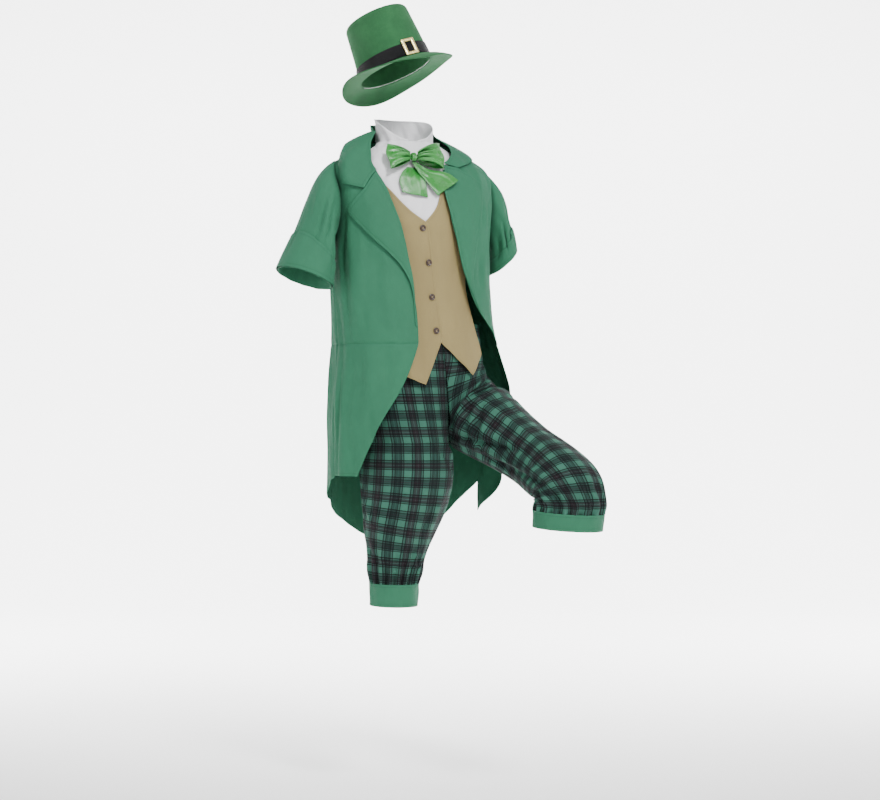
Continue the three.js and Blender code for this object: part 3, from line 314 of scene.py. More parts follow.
# %% [markdown]
# ## Cloth, satin, felt and metal
# A material is judged from near and far. From afar the colour and the way light falls off decide, so
# every cloth here has a soft sheen and slightly uneven colour. Near by, the threads show: they are two
# sets of fine waves at right angles on the `cloth` map, which turn into a bump. The stitching is a dashed
# line a set way in from the edge, read from the `edge` map. Values that are the same all over the piece
# are typed straight into the shader.

# %% Material helpers
class Wire:
    """A node's output. Adding to it or multiplying it makes the node that does so."""

    def __init__(self, nodes, socket):
        self.nodes, self.socket = nodes, socket

    def reckon(self, kind, *values):
        node = self.nodes.make("ShaderNodeMath", operation=kind)
        for socket, value in zip(node.inputs, values):
            self.nodes.feed(socket, value)
        return Wire(self.nodes, node.outputs[0])

    def __add__(self, other):
        return self.reckon("ADD", self, other)

    def __sub__(self, other):
        return self.reckon("SUBTRACT", self, other)

    def __rsub__(self, other):
        return self.reckon("SUBTRACT", other, self)

    def __mul__(self, other):
        return self.reckon("MULTIPLY", self, other)

    def __abs__(self):
        return self.reckon("ABSOLUTE", self)

    def wave(self, length):
        """A sine wave along this value, from -1 to 1."""
        return self.reckon("SINE", self * (2 * math.pi / length))


class Nodes:
    """A short way to write node trees: each call makes a node and hands back its output."""

    def __init__(self, name):
        self.material = bpy.data.materials.new(name)
        self.material.use_nodes = True
        self.tree = self.material.node_tree
        self.shader = self.tree.nodes["Principled BSDF"]

    def make(self, kind, inputs=(), **settings):
        node = self.tree.nodes.new(kind)
        for key, value in settings.items():
            setattr(node, key, value)
        for key, value in dict(inputs).items():
            self.feed(node.inputs[key], value)
        return node

    def feed(self, socket, value):
        if isinstance(value, Wire):
            self.tree.links.new(value.socket, socket)
        else:
            socket.default_value = value

    def local(self):
        return Wire(self, self.make("ShaderNodeTexCoord").outputs["Object"])

    def map(self, name):
        """A map as a whole, then its two values."""
        node = self.make("ShaderNodeUVMap", uv_map=name)
        whole = Wire(self, node.outputs[0])
        parts = self.make("ShaderNodeSeparateXYZ", {0: whole})
        return whole, Wire(self, parts.outputs[0]), Wire(self, parts.outputs[1])

    def noise(self, place, scale, detail=3.0, rough=0.5, stretch=None):
        if stretch:
            place = Wire(self, self.make("ShaderNodeMapping", {"Vector": place, "Scale": stretch}).outputs[0])
        node = self.make("ShaderNodeTexNoise",
                         {"Vector": place, "Scale": scale, "Detail": detail, "Roughness": rough})
        return Wire(self, node.outputs[0])

    def between(self, value, low, high, out_low=0.0, out_high=1.0):
        node = self.make("ShaderNodeMapRange", {0: value, 1: low, 2: high, 3: out_low, 4: out_high},
                         interpolation_type="SMOOTHSTEP")
        return Wire(self, node.outputs[0])

    def mix(self, share, a, b, blend="MIX"):
        node = self.make("ShaderNodeMix", data_type="RGBA", blend_type=blend)
        for socket, value in zip((0, 6, 7), (share, a, b)):
            self.feed(node.inputs[socket], value)
        return Wire(self, node.outputs[2])

    def dimmed(self, colour, by):
        """A colour times a grey value."""
        grey = self.make("ShaderNodeCombineXYZ", {0: by, 1: by, 2: by})
        return self.mix(1.0, colour, Wire(self, grey.outputs[0]), "MULTIPLY")

    def bump(self, height, distance, strength=1.0, onto=None):
        node = self.make("ShaderNodeBump", {"Strength": strength, "Distance": distance, "Height": height})
        if onto is not None:
            self.feed(node.inputs["Normal"], onto)
        return Wire(self, node.outputs[0])

    def painted_crease_shade(self, reach, darkest):
        """Painted shade: one on open cloth, falling to the darkest value where other cloth comes close."""
        node = self.make("ShaderNodeAmbientOcclusion", {"Distance": reach}, samples=6)
        return self.between(Wire(self, node.outputs["AO"]), 0.25, 0.9, darkest, 1.0)

    def finish(self, colour, rough, normal=None, **fixed):
        fixed.update(Base_Color=colour, Roughness=rough)
        if normal is not None:
            fixed["Normal"] = normal
        for key, value in fixed.items():
            self.feed(self.shader.inputs[key.replace("_", " ")], value)
        return self.material


def line_at(n, distance, middle, half):
    """One on a line that runs a set way in from the edge, nought elsewhere."""
    return n.between(abs(distance - middle), half * 1.5, half * 0.5)


DASH = 0.0032  # one stitch and its gap


def woven(name, colour, seam=(0.005, 0.00035), thread=0.0006, rough=0.8, sheen=0.25, slub=0.05,
          stitch_tone=0.6):
    """Plain woven cloth with a line of stitches. `seam` is its distance from the edge and half its width."""
    n = Nodes(name)
    place, across, down = n.map("cloth")
    _, near, run = n.map("edge")
    weave = across.wave(thread) * down.wave(thread)
    broad = n.noise(place, 7.0, 4.0, 0.55)
    streak = n.noise(place, 60.0, 3.0, 0.6, (14.0, 1.0, 1.0))
    tone = n.between(broad, 0.3, 0.7, 1 - slub, 1 + slub)
    tone = tone * n.between(streak, 0.25, 0.75, 1 - slub * 0.7, 1 + slub * 0.7) * (weave * 0.035 + 1.0)
    # Near an edge the colour is painted up to 12% lighter, partly edge wear and partly a painted highlight
    # where the rolled edge catches the light. The painted crease shade then darkens it down to half where
    # other cloth comes close.
    tone = tone * n.between(near, 0.0004, 0.0022, 1.12, 1.0) * n.painted_crease_shade(0.022, 0.5)
    offset, half = seam
    stitch = line_at(n, near, offset, half) * n.between(run.wave(DASH), -0.55, -0.2)
    tone = tone * (1.0 - stitch * (1 - stitch_tone))
    puckers = run.wave(DASH * 2.7) * n.between(near, offset * 2.6, 0.0)
    height = weave * 0.5 - line_at(n, near, offset, half * 3.4) * 1.6 + stitch * 2.2 + puckers * 0.6
    normal = n.bump(n.noise(place, 34.0, 4.0, 0.55), 0.0028, 0.35)
    normal = n.bump(height, 0.00022, 0.8, normal)
    rough = n.between(broad, 0.25, 0.75, rough - 0.05, rough + 0.06)
    return n.finish(n.dimmed((*colour, 1.0), tone), rough, normal, Sheen_Weight=sheen, Sheen_Roughness=0.45,
                    Specular_IOR_Level=0.2, Sheen_Tint=(*(min(c * 1.5 + 0.08, 1) for c in colour), 1.0))


COAT_GREEN = (0.031, 0.150, 0.082)
coat_cloth = woven("coat cloth", COAT_GREEN, (0.0065, 0.0004), sheen=0.14)
vest_cloth = woven("waistcoat cloth", (0.285, 0.222, 0.098), thread=0.0007, rough=0.7)
shirt_cloth = woven("shirt cloth", (0.88, 0.87, 0.90), (0.004, 0.0003), 0.0005, sheen=0.15, slub=0.02,
                    stitch_tone=0.85)
band_cloth = woven("knee band cloth", COAT_GREEN, (0.005, 0.0004), sheen=0.14)
print("woven cloths:", coat_cloth.name, vest_cloth.name, shirt_cloth.name)

# %% [markdown]
# ## The check
# A woven check is two lists of coloured stripes, one for the threads that run down the cloth and one for
# those that run across. Where the two cross, the eye sees their blend, so only green over green gives a
# bright square and everything else stays dark. A colour ramp holds each list. The blend is the two
# colours multiplied and then square-rooted, with a little of each thread left over in fine diagonals.

# %% The checked cloth
GREEN, BLACK = (0.044, 0.148, 0.104), (0.0002, 0.0006, 0.0006)
SLATE, MOSS, PALE = (0.024, 0.055, 0.047), (0.005, 0.014, 0.013), (0.06, 0.11, 0.10)
WINE = (0.012, 0.006, 0.009)
DOWN_STRIPES = [  # where each stripe starts in one repeat of the check, in millimetres, and its colour
    (0, GREEN), (16.8, BLACK), (19.2, SLATE), (23.2, BLACK), (25.4, WINE), (31.2, PALE), (31.9, WINE),
    (37.4, BLACK), (39.6, SLATE), (43, BLACK), (45.4, GREEN), (62.2, BLACK), (64.6, SLATE), (68.6, BLACK),
    (70.8, MOSS), (76.6, SLATE), (77.4, MOSS), (82.8, BLACK), (85, SLATE), (88.4, BLACK),
]
ACROSS_STRIPES = [
    (0, GREEN), (14.8, BLACK), (17, SLATE), (20.4, BLACK), (22.4, MOSS), (26.4, WINE), (28.4, MOSS),
    (31.4, BLACK), (33.4, SLATE), (36, BLACK), (38, GREEN), (52.8, BLACK), (55, SLATE), (58.4, BLACK),
    (60.4, WINE), (64.4, PALE), (65.1, WINE), (69.4, BLACK), (71.4, SLATE), (74, BLACK),
]
DOWN_REPEAT, ACROSS_REPEAT = 90.8, 76.0


def checked(name):
    n = Nodes(name)
    place, across, down = n.map("cloth")
    wander = (n.noise(place, 420.0, 2.0) - 0.5) * 0.0009

    def stripes(along, marked, repeat):
        ramp = n.make("ShaderNodeValToRGB")
        ramp.color_ramp.interpolation = "CONSTANT"
        marks = ramp.color_ramp.elements
        while len(marks) > 1:
            marks.remove(marks[-1])
        for i, (start, colour) in enumerate(marked):
            mark = marks[0] if i == 0 else marks.new(start / repeat)
            mark.position, mark.color = start / repeat, (*colour, 1.0)
        turn = (along + wander) * (1000 / repeat)
        n.feed(ramp.inputs[0], turn.reckon("FRACT", turn))
        return Wire(n, ramp.outputs[0])

    warp = stripes(across + 10.0, DOWN_STRIPES, DOWN_REPEAT)
    weft = stripes(down + 10.0, ACROSS_STRIPES, ACROSS_REPEAT)
    twill = (across + down).wave(0.0011)
    both = Wire(n, n.make("ShaderNodeGamma", {0: n.mix(1.0, warp, weft, "MULTIPLY"), 1: 0.5}).outputs[0])
    colour = n.mix(0.14, both, n.mix(n.between(twill, -0.7, 0.7, 0.2, 0.8), warp, weft))
    broad = n.noise(place, 9.0, 4.0, 0.55)
    # Painted shade: the check is darkened down to 0.3 in its creases and where other cloth comes close.
    colour = n.dimmed(colour, n.between(broad, 0.3, 0.7, 0.92, 1.08) * n.painted_crease_shade(0.026, 0.3))
    normal = n.bump(n.noise(place, 40.0, 4.0, 0.55), 0.0026, 0.4)
    normal = n.bump(across.wave(0.0006) * down.wave(0.0006) + twill * 0.7, 0.0002, 0.7, normal)
    return n.finish(colour, n.between(broad, 0.25, 0.75, 0.74, 0.84), normal, Specular_IOR_Level=0.2,
                    Sheen_Weight=0.03, Sheen_Roughness=0.4, Sheen_Tint=(0.4, 0.6, 0.55, 1.0))


check_cloth = checked("checked cloth")
print("stripes down and across:", len(DOWN_STRIPES), len(ACROSS_STRIPES))

# %% [markdown]
# ## The coat's surface
# All the coat's panels lie on one surface, so they meet at their seams whatever folds it has. Each seam
# is drawn in a little, because sewing pulls the cloth down. The long folds come from the way it hangs:
# from the chest, from the waist seam and from the seat.

# %% Coat folds
COAT_SCALE = 3.2  # millimetres round the coat for each degree
WAIST, SIDE_SEAM = -450.0, 96.0
coat_folds = ridges([  # across, down, lean, width, length, height
    (-205, 300, 3, 18, 90, 4), (-150, 255, 22, 24, 70, -4), (-260, 620, 0, 20, 150, 6),
    (-190, 600, 10, 34, 110, -5), (280, 590, 0, 125, 135, 60), (245, 760, 0, 60, 60, 22),
    (400, 660, -4, 30, 140, -6), (480, 660, 4, 32, 160, 7), (640, 680, -3, 32, 150, 7),
    (720, 700, 3, 30, 120, -5),
])
coat_creases = ridges([
    (-290, 560, 1, 9, 120, 4.2), (-276, 600, -2, 8, 130, -4.0), (-120, 520, 28, 30, 60, -4.0),
    (-225, 180, -14, 16, 60, -5.0), (-130, 160, 30, 18, 60, 2.6), (-95, 380, 8, 14, 90, -3.0),
    (-240, 390, 4, 10, 70, -4.0), (-262, 300, -2, 12, 90, 4.0), (-228, 250, -8, 9, 80, 3.2),
    (-180, 400, 14, 12, 60, -2.6), (-150, 640, 12, 16, 80, 3.4), (-236, 540, -4, 12, 70, -3.6),
    (150, 150, -26, 16, 50, 4.2), (175, 120, -40, 12, 40, -4.0), (215, 230, -12, 14, 70, -4.0),
    (190, 300, -10, 12, 80, 3.4), (130, 260, -16, 10, 60, -2.6), (430, 230, 6, 18, 110, 4.4),
    (500, 330, -3, 22, 120, -4.4), (576, 250, 0, 20, 150, -3.0), (650, 330, 3, 22, 120, 4.2),
    (720, 240, -6, 18, 110, -4.4), (540, 400, 2, 14, 90, 3.0), (610, 420, -2, 14, 90, -3.0),
    (560, 620, 2, 16, 150, 4.0), (450, 560, -3, 12, 90, -3.4), (700, 600, 4, 12, 90, 3.4),
])
coat_ripple, coat_fine = ripple(4, 95, 260), ripple(9, 42, 150, lean=6)


def coat_lift(angle, z):
    round_it = np.where(angle < -125, angle + 360, angle)
    across, down = round_it * COAT_SCALE, -z
    low = smooth((down + 10) / 60)
    soft = coat_creases(across, down) + 1.9 * coat_ripple(across, down) + 0.7 * coat_fine(across, down)
    lift = coat_folds(across, down) + low * soft
    seam = -1.1 * np.exp(-(((z - WAIST) / 3.5) ** 2))
    for middle in (-SIDE_SEAM, SIDE_SEAM, 180, -180):
        seam = seam - 0.9 * np.exp(-(((angle - middle) * COAT_SCALE / 3.2) ** 2))
    pucker = 0.5 * np.sin(across / 5.2) * np.exp(-(((z - WAIST) / 9) ** 2))
    return lift + seam + pucker * smooth((np.abs(z - WAIST) - 1) / 3)


print("coat surface at the chest:", coat_lift(np.array(-40.0), np.array(-200.0)))

# %% [markdown]
# ## Cutting and laying a panel
# A panel is cut between four lines: an inner edge, an outer edge, a top and a hem. Any point inside is
# blended from the four, which keeps a curved edge curved and lets the rest of the grid follow it. Each
# line is given as an angle round the form and a height. The panel is then laid on the form at a chosen
# height above it, and a second layer, one cloth thickness further out, makes it a wall.

# %% Cutting and laying
def straight(a, b):
    return curve([(0, *a), (1, *b)])


def bent(a, corner, b):
    return curve([(0, *a), (0.5, *corner), (1, *b)], corners=(1,))


def cut(inner, outer, across, down, top=None, hem=None):
    """A grid of (angle, z), [row][column]; u goes from inner to outer, v from the top to the hem."""
    top = top or straight(inner(0.0), outer(0.0))
    hem = hem or straight(inner(1.0), outer(1.0))
    u, v = np.linspace(0, 1, across + 1), np.linspace(0, 1, down + 1)
    uu, vv = u[None, :, None], v[:, None, None]
    left, right, high, low = inner(v)[:, None], outer(v)[:, None], top(u)[None], hem(u)[None]
    corners = [inner(0.0) * (1 - uu) + outer(0.0) * uu, inner(1.0) * (1 - uu) + outer(1.0) * uu]
    grid = left * (1 - uu) + right * uu + high * (1 - vv) + low * vv
    return grid - corners[0] * (1 - vv) - corners[1] * vv, np.meshgrid(u, v)


def lay(name, form, panel, lift, thick=CLOTH, **options):
    grid, (u, v) = panel
    angle, z = grid[..., 0], grid[..., 1]
    rise = lift(u, v, angle, z)
    inner, outer = lifted(form, angle, z, rise), lifted(form, angle, z, rise + thick)
    return cloth_mesh(name, inner, outer, **options)


def on_coat(u, v, angle, z):
    return coat_lift(angle, z)


# %% [markdown]
# ## The bodice
# A tailcoat's bodice has two fronts and a back cut in two, joined at the shoulders, the sides and the
# middle of the back, and it ends at a seam at the waist. The fronts turn back on themselves along the
# roll line, which is each front's inner edge here, and the lapels are laid on afterwards as pieces of
# their own. The armhole is an oval that narrows to a point where it meets the shoulder seam.

# %% Fronts and backs
BODICE_END, SHOULDER_NECK, CLEAR = WAIST + 0.15, 14.0, 0.08
HOLE_WIDE, HOLE_HIGH, HOLE_MIDDLE, POINTED = 19.0, 84.0, -128.0, 0.35
FROM, TO = 0.16, 0.52  # the shares of the arm edge between which it follows the armhole


def armhole(turn):
    """Offsets in angle and height from the armhole's middle: turn 0 is its top and 90 its front."""
    t = np.abs((turn + 180) % 360 - 180)
    drop = (1 - POINTED) * np.cos(np.radians(t)) + POINTED * (1 - t / 90)
    return HOLE_WIDE * np.sin(np.radians(turn)), drop, (SIDE_SEAM - 90) * smooth(t / 180)


def arm_edge(side, facing):
    """Down the shoulder seam, round the armhole and down the side seam."""
    clear, tip, under = facing * CLEAR, HOLE_MIDDLE + HOLE_HIGH, HOLE_MIDDLE - HOLE_HIGH

    def at(share):
        share = np.asarray(share, float)
        forward, drop, back = armhole(np.clip((share - FROM) / (TO - FROM), 0, 1) * 180)
        seam_z = SHOULDER_NECK + (tip - SHOULDER_NECK) * share / FROM
        side_z = under + (BODICE_END - under) * (share - TO) / (1 - TO)
        angle = np.where(share <= FROM, 90 - clear,
                         np.where(share <= TO, 90 + back - facing * forward - clear, SIDE_SEAM - clear))
        z = np.where(share <= FROM, seam_z, np.where(share <= TO, HOLE_MIDDLE + HOLE_HIGH * drop, side_z))
        return np.stack([side * angle, z], axis=-1)

    return at


roll_lines = {
    "right": [(0, -50, -20), (0.12, -37, -68), (0.3, -29.5, -140), (0.52, -24, -212), (0.68, -20.8, -300),
              (0.83, -19, -372), (1, -19.4, BODICE_END)],
    "left": [(0, 36, -10), (0.12, 10.5, -58), (0.3, 11, -140), (0.52, 15.5, -215), (0.68, 22, -300),
             (0.83, 34, -372), (1, 66, BODICE_END)],
}
for name, side in SIDES.items():
    panel = cut(curve(roll_lines[name]), arm_edge(side, 1), 46, 104)
    piece = lay(f"front_{name}", coat_form, panel, on_coat, edges="none", middle=20)
    dress(piece, f"coat_front_{name}", coat_cloth, "hung")
    centre = side * (180 - CLEAR)
    back_line = curve([(0, centre, 21), (0.16, centre, -38), (0.52, centre, -212), (1, centre, BODICE_END)])
    panel = cut(back_line, arm_edge(side, -1), 40, 104)
    piece = lay(f"back_{name}", coat_form, panel, on_coat, edges="none", middle=0)
    dress(piece, f"coat_back_{name}", coat_cloth, "hung")

# %% [markdown]
# ## The skirt and the tails
# Below the waist seam each front is cut away in a slant, and behind it hangs a long tail with a pointed
# hem, open from its fellow at the middle of the back. The left side stands well out over the raised
# thigh, which the largest row of the fold table does. The hems are turned up and stitched, so here the
# `edge` map takes in the lower edges.

# %% Skirt
SKIRT_TOP, TAIL_END = WAIST - 0.15, -905.0
skirt_edges = {
    "right": [(0, -19.4, SKIRT_TOP), (0.14, -23.5, -488), (0.36, -32, -553), (0.66, -48, -642),
              (0.9, -60, -719), (1, -64, -745)],
    "left": [(0, 66, SKIRT_TOP), (0.18, 68, -512), (0.45, 82, -606), (0.74, 80, -722), (0.88, 78, -776),
             (1, 97, -835)],
}
skirt_sides = {"right": (-96, -745), "left": (103, -762)}
tail_hems = {
    "right": [(0, -96 - CLEAR, -750), (0.1, -104, -757), (0.22, -114, -778), (0.5, -138, -832),
              (0.78, -164, -884), (1, -179.6, TAIL_END)],
    "left": [(0, 103 + CLEAR, -768), (0.1, 110, -790), (0.25, 121, -820), (0.5, 141, -876),
             (0.78, 163, -900), (1, 179.6, TAIL_END)],
}
for name, side in SIDES.items():
    end = skirt_sides[name]
    outer = straight((side * (SIDE_SEAM - CLEAR), SKIRT_TOP), (end[0] - side * CLEAR, end[1]))
    panel = cut(curve(skirt_edges[name]), outer, 34, 72)
    piece = lay(f"skirt_{name}", coat_form, panel, on_coat, edges="hem", middle=20)
    dress(piece, f"coat_skirt_{name}", coat_cloth, "hung")
    hem = tail_hems[name]
    inner = straight((side * (SIDE_SEAM + CLEAR), SKIRT_TOP), hem[0][1:])
    outer = straight((side * (180 - CLEAR), SKIRT_TOP), hem[-1][1:])
    panel = cut(inner, outer, 54, 90, hem=curve(hem))
    piece = lay(f"tail_{name}", coat_form, panel, on_coat, edges="hem", middle=0)
    dress(piece, f"coat_tail_{name}", coat_cloth, "hung")

# %% [markdown]
# ## Surfaces that go round
# Sleeves, breeches legs, the hat's brim and the bands all go round something. Each is given by a turn in
# degrees and a share of its length. To give one a wall, every point is moved along the surface's own
# outward direction, which is found from its neighbours, and one vote over the whole piece settles which
# of the two directions is out.

# %% Walls that go round
def moved_out(surface, turn, share, distance, heart=None):
    def normal(t, s):
        along = surface(t + 0.06, s) - surface(t - 0.06, s)
        down = surface(t, np.minimum(s + 1e-3, 1)) - surface(t, np.maximum(s - 1e-3, 0))
        return unit(np.cross(along, down))

    asked = np.array([15.0, 105.0, 195.0, 285.0]), np.full(4, 0.6)
    spots = surface(*asked)
    votes = np.sum(normal(*asked) * (spots - (spots.mean(axis=0) if heart is None else heart)))
    way = 1.0 if votes >= 0 else -1.0
    return surface(turn, share) + normal(turn, share) * (way * np.asarray(distance))[..., None]


def wrapped(name, surface, turns, shares, lift=0.0, thick=CLOTH, heart=None, **options):
    """A wall on a surface that goes round. The lift is a number, or a rule in turn and share."""
    turn, share = np.meshgrid(turns, shares)
    rise = lift(turn, share) if callable(lift) else lift
    shapes = [moved_out(surface, turn, share, rise + d, heart) for d in (0.0, thick)]
    return cloth_mesh(name, *shapes, **options)


def full_turn(count):
    return np.arange(count) * 360.0 / count


# %% [markdown]
# ## Sleeves with turned-up cuffs
# A sleeve starts on the armhole and soon becomes a ring that leaves the bodice at a slant. Each table row
# is such a ring. The cuff is the sleeve's own end, turned up and lying on its outside, so it is made
# from the same surface, moved out a little more towards the open end.

# %% Sleeves
sleeve_rows = {  # share, outer end's distance and height, inner end's distance and height, ahead, half depth
    "right": curve([(0, 199, -41, 196, -217, 0, 58), (0.15, 222, -66, 202, -226, 1, 61),
                    (0.35, 243, -110, 206, -242, 5, 65), (0.6, 268, -174, 208, -270, 9, 69),
                    (0.8, 294, -228, 210, -296, 12, 73), (1, 321, -280, 212, -326, 14, 76)]),
    "left": curve([(0, 199, -41, 196, -217, 0, 58), (0.15, 217, -66, 201, -223, 0, 60),
                   (0.35, 234, -104, 203, -232, -2, 63), (0.6, 247, -148, 204, -246, -4, 67),
                   (0.8, 255, -180, 204, -262, -6, 70), (1, 262, -212, 205, -284, -8, 73)]),
}
sleeve_folds = {
    "right": ridges([(95, 0.5, 0, 22, 0.3, 5), (40, 0.62, 0, 26, 0.2, -6), (300, 0.55, 0, 30, 0.3, 5),
                     (70, 0.4, 0, 8, 0.26, 4.4), (84, 0.5, 0, 6, 0.24, -5), (118, 0.45, 0, 9, 0.3, -5.4),
                     (132, 0.6, 0, 7, 0.24, 4.6), (56, 0.55, 0, 7, 0.2, -4.2), (28, 0.4, 0, 10, 0.2, 3.6),
                     (150, 0.6, 0, 10, 0.2, -4.4), (340, 0.3, 0, 14, 0.2, -4), (104, 0.7, 0, 6, 0.14, 3.6)]),
    "left": ridges([(60, 0.55, 0, 24, 0.25, -6), (20, 0.75, 0, 22, 0.2, 5), (270, 0.5, 0, 34, 0.3, 5),
                    (85, 0.4, 0, 8, 0.26, 4.6), (98, 0.5, 0, 6, 0.24, -5), (112, 0.6, 0, 7, 0.2, 4.2),
                    (66, 0.6, 0, 6, 0.2, -4.6), (40, 0.35, 0, 8, 0.18, 4), (28, 0.6, 0, 7, 0.2, -4.2),
                    (8, 0.45, 0, 10, 0.2, -3.6), (130, 0.5, 0, 9, 0.25, -4.4)]),
}
sleeve_ripple = {"right": ripple(21, 38, 0.6), "left": ripple(22, 38, 0.6)}


def sleeve_surface(name):
    side = SIDES[name]

    def at(turn, share):
        outer, outer_z, inner, inner_z, ahead, deep = np.moveaxis(sleeve_rows[name](share), -1, 0)
        c, s = np.cos(np.radians(turn)), np.sin(np.radians(turn))
        fold = sleeve_folds[name](turn % 360, share)
        whole = sleeve_ripple[name](turn % 360, share) * 0.9 * np.sin(np.pi * np.clip(share, 0, 1)) ** 0.7
        whole = whole * smooth(np.minimum(turn % 360, 360 - turn % 360) / 14)
        out = side * ((outer + inner + (outer - inner) * c) / 2 + (fold + whole) * c)
        forward = ahead + (deep + fold + whole) * s
        x, y, _, _, turned = coat_form(HOLE_MIDDLE)
        a = math.radians(turned)
        ring = xyz(x + out * math.cos(a) + forward * math.sin(a),
                   y + out * math.sin(a) - forward * math.cos(a),
                   (outer_z + inner_z + (outer_z - inner_z) * c) / 2)
        aside, drop, back = armhole(turn % 360)
        angle, z = side * (90 + back - aside * 1.06), HOLE_MIDDLE + HOLE_HIGH * 1.06 * drop
        seam = lifted(coat_form, angle, z, CLOTH + 2 + coat_lift(angle, z))
        settled = np.minimum(share / 0.25, 1)
        settled = (settled * (2 - settled))[..., None]
        return seam * (1 - settled) + ring * settled

    return at


cuff_flare = curve([(0.7, 1.1), (0.8, 2.6), (0.9, 3.6), (1, 3.4)])
for name, side in SIDES.items():
    surface = sleeve_surface(name)

    def cuff_lift(turn, share, side=side):
        slack = 0.7 * np.sin(np.radians(turn * 5 + 40 * side)) * smooth((0.99 - share) / 0.2)
        return cuff_flare(share)[..., 0] + np.abs(slack) + CLOTH

    piece = wrapped(f"sleeve_{name}_cloth", surface, full_turn(104), np.linspace(0, 1, 58),
                    closed=True, edges="none")
    dress(piece, f"sleeve_{name}", coat_cloth, "hung")
    piece = wrapped(f"cuff_{name}_cloth", surface, full_turn(104), np.linspace(0.7, 0.999, 22), cuff_lift,
                    closed=True, edges="ends")
    dress(piece, f"sleeve_cuff_{name}", coat_cloth, "folded")

# %% [markdown]
# ## Collar and lapels
# The collar stands round the neckline, turns over along its fold line and falls on the shoulders. It ends
# on each side at the gorge, the short seam where it meets the lapel, and the open corner between them is
# the notch. A lapel lies a little off the coat and rises towards its outer edge, so it throws a thin
# shadow: that shadow is what makes a lapel read as a lapel.

# %% Collar
collar_fold = [(0, -37.4, -64), (0.1, -46, -30), (0.2, -60, 2), (0.3, -83, 38), (0.4, -120, 58),
               (0.5, -180, 64), (0.6, -240, 60), (0.7, -278, 42), (0.8, -305, 16), (0.9, -328, -12),
               (1, -348, -42)]
collar_fall = [(0, -66.5, -90), (0.1, -70, -66), (0.2, -78, -42), (0.3, -97, -22), (0.4, -128, -11),
               (0.5, -180, -10), (0.6, -236, -9), (0.7, -268, -13), (0.8, -288, -19), (0.9, -304, -24),
               (1, -319, -29)]
gorge_right, gorge_left = (-48, -103.5), (-338.5, -52)
panel = cut(curve(collar_fold), curve(collar_fall), 22, 128,
            top=bent(collar_fold[0][1:], gorge_right, collar_fall[0][1:]),
            hem=bent(collar_fold[-1][1:], gorge_left, collar_fall[-1][1:]))


fold_spread = ridges([(-70, 0, 0, 20, 1, 15)])
side_spread = ridges([(-90, 0, 0, 26, 1, 16), (-262, 0, 0, 34, 1, 7)])


def collar_lift(u, v, angle, z):
    rolled = 2.5 * np.sin(np.pi * np.minimum(u * 1.6, 1))
    spread = fold_spread(angle, 0.0) * (1 - u) + side_spread(angle, 0.0) * np.sin(np.pi * u)
    return 3.4 + rolled + spread * smooth((-42 - angle) / 16) + coat_lift(angle, z)


piece = lay("collar_cloth", coat_form, panel, collar_lift, edges="all", middle=11)
dress(piece, "coat_collar", coat_cloth, "folded")

# %% Lapels
lapels = {
    "right": {
        "roll": [(0, -37.2, -66), (0.22, -29.5, -140), (0.42, -24, -212), (0.67, -20.8, -300),
                 (1, -19.1, -410)],
        "gorge": (-47.6, -105),
        "outer": [(0, -65.5, -153), (0.22, -46, -214), (0.42, -30, -266), (0.55, -24, -298),
                  (1, -20.2, -412)],
    },
    "left": {
        "roll": [(0, 11.8, -45), (0.25, 8.2, -110), (0.42, 12.2, -166), (0.75, 22, -300), (1, 34, -372)],
        "gorge": (21.9, -54.5),
        "outer": [(0, 40, -83), (0.25, 37.5, -150), (0.42, 34, -206), (0.7, 28, -300), (1, 35.6, -374)],
    },
}


def lapel_lift(u, v, angle, z):
    width = 1 - smooth((v - 0.5) / 0.4)
    edge = 3.2 * smooth(u * 2 - 1) * smooth(v * 5)
    return CLOTH + 0.7 + coat_lift(angle, z) + (1.4 * smooth(u * 2) + 2.2 * np.sin(np.pi * u) + edge) * width


for name, shape in lapels.items():
    panel = cut(curve(shape["roll"]), curve(shape["outer"]), 30, 92,
                top=bent(shape["roll"][0][1:], shape["gorge"], shape["outer"][0][1:]))
    piece = lay(f"lapel_{name}_cloth", coat_form, panel, lapel_lift, edges="all", middle=15)
    dress(piece, f"lapel_{name}", coat_cloth, "folded")

# %% [markdown]
# ## The shirt front
# Under the waistcoat is only a bib, sewn to a soft stand collar. The collar is tall, thin and a little
# crushed by the bow, so it has many small upright creases, and the bib has a few that run down from it.

# %% Shirt
collar_top = curve([(0, 12), (30, 22), (55, 41), (80, 57), (105, 67), (140, 74), (180, 75)])
stand_ripple, bib_ripple = ripple(31, 26, 90, lean=8), ripple(32, 34, 150, lean=-10)


def shirt_top(angle):
    return collar_top(np.abs(angle))[..., 0]


u, v = np.meshgrid(np.arange(168) / 168, np.linspace(0, 1, 18))
angle = u * 360 - 180
z = shirt_top(angle) - v * 49.7
turn = angle / 360 * 440
crease = 2.2 * stand_ripple(turn * np.cos(np.radians(angle) / 2) * 1.02, -z) * np.sin(np.pi * v) ** 0.6
crease = crease * smooth((180 - np.abs(angle)) / 12)
rise = 1.2 + crease * 0.9 + 2.0 * (1 - v) ** 2  # the top leans out a little
shapes = [lifted(body_form, angle, z, rise + d) for d in (0, CLOTH)]
piece = cloth_mesh("stand_collar_cloth", *shapes, closed=True, edges="ends")
dress(piece, "shirt_collar", shirt_cloth, "gathered")

u, v = np.meshgrid(np.linspace(0, 1, 78), np.linspace(0, 1, 52))
angle = (2 * u - 1) * 67.5
top = shirt_top(angle) - 50.3
z = top + (-232 + 60 * (2 * u - 1) ** 2 - top) * v
crease = 0.9 * bib_ripple(angle * 2.6, -z) * smooth(v * 4) * smooth((1 - np.abs(2 * u - 1)) * 6)
shapes = [lifted(body_form, angle, z, 1.2 + crease + d) for d in (0, CLOTH)]
piece = cloth_mesh("bib_cloth", *shapes, edges="sides")
dress(piece, "shirt_front", shirt_cloth, "hung")

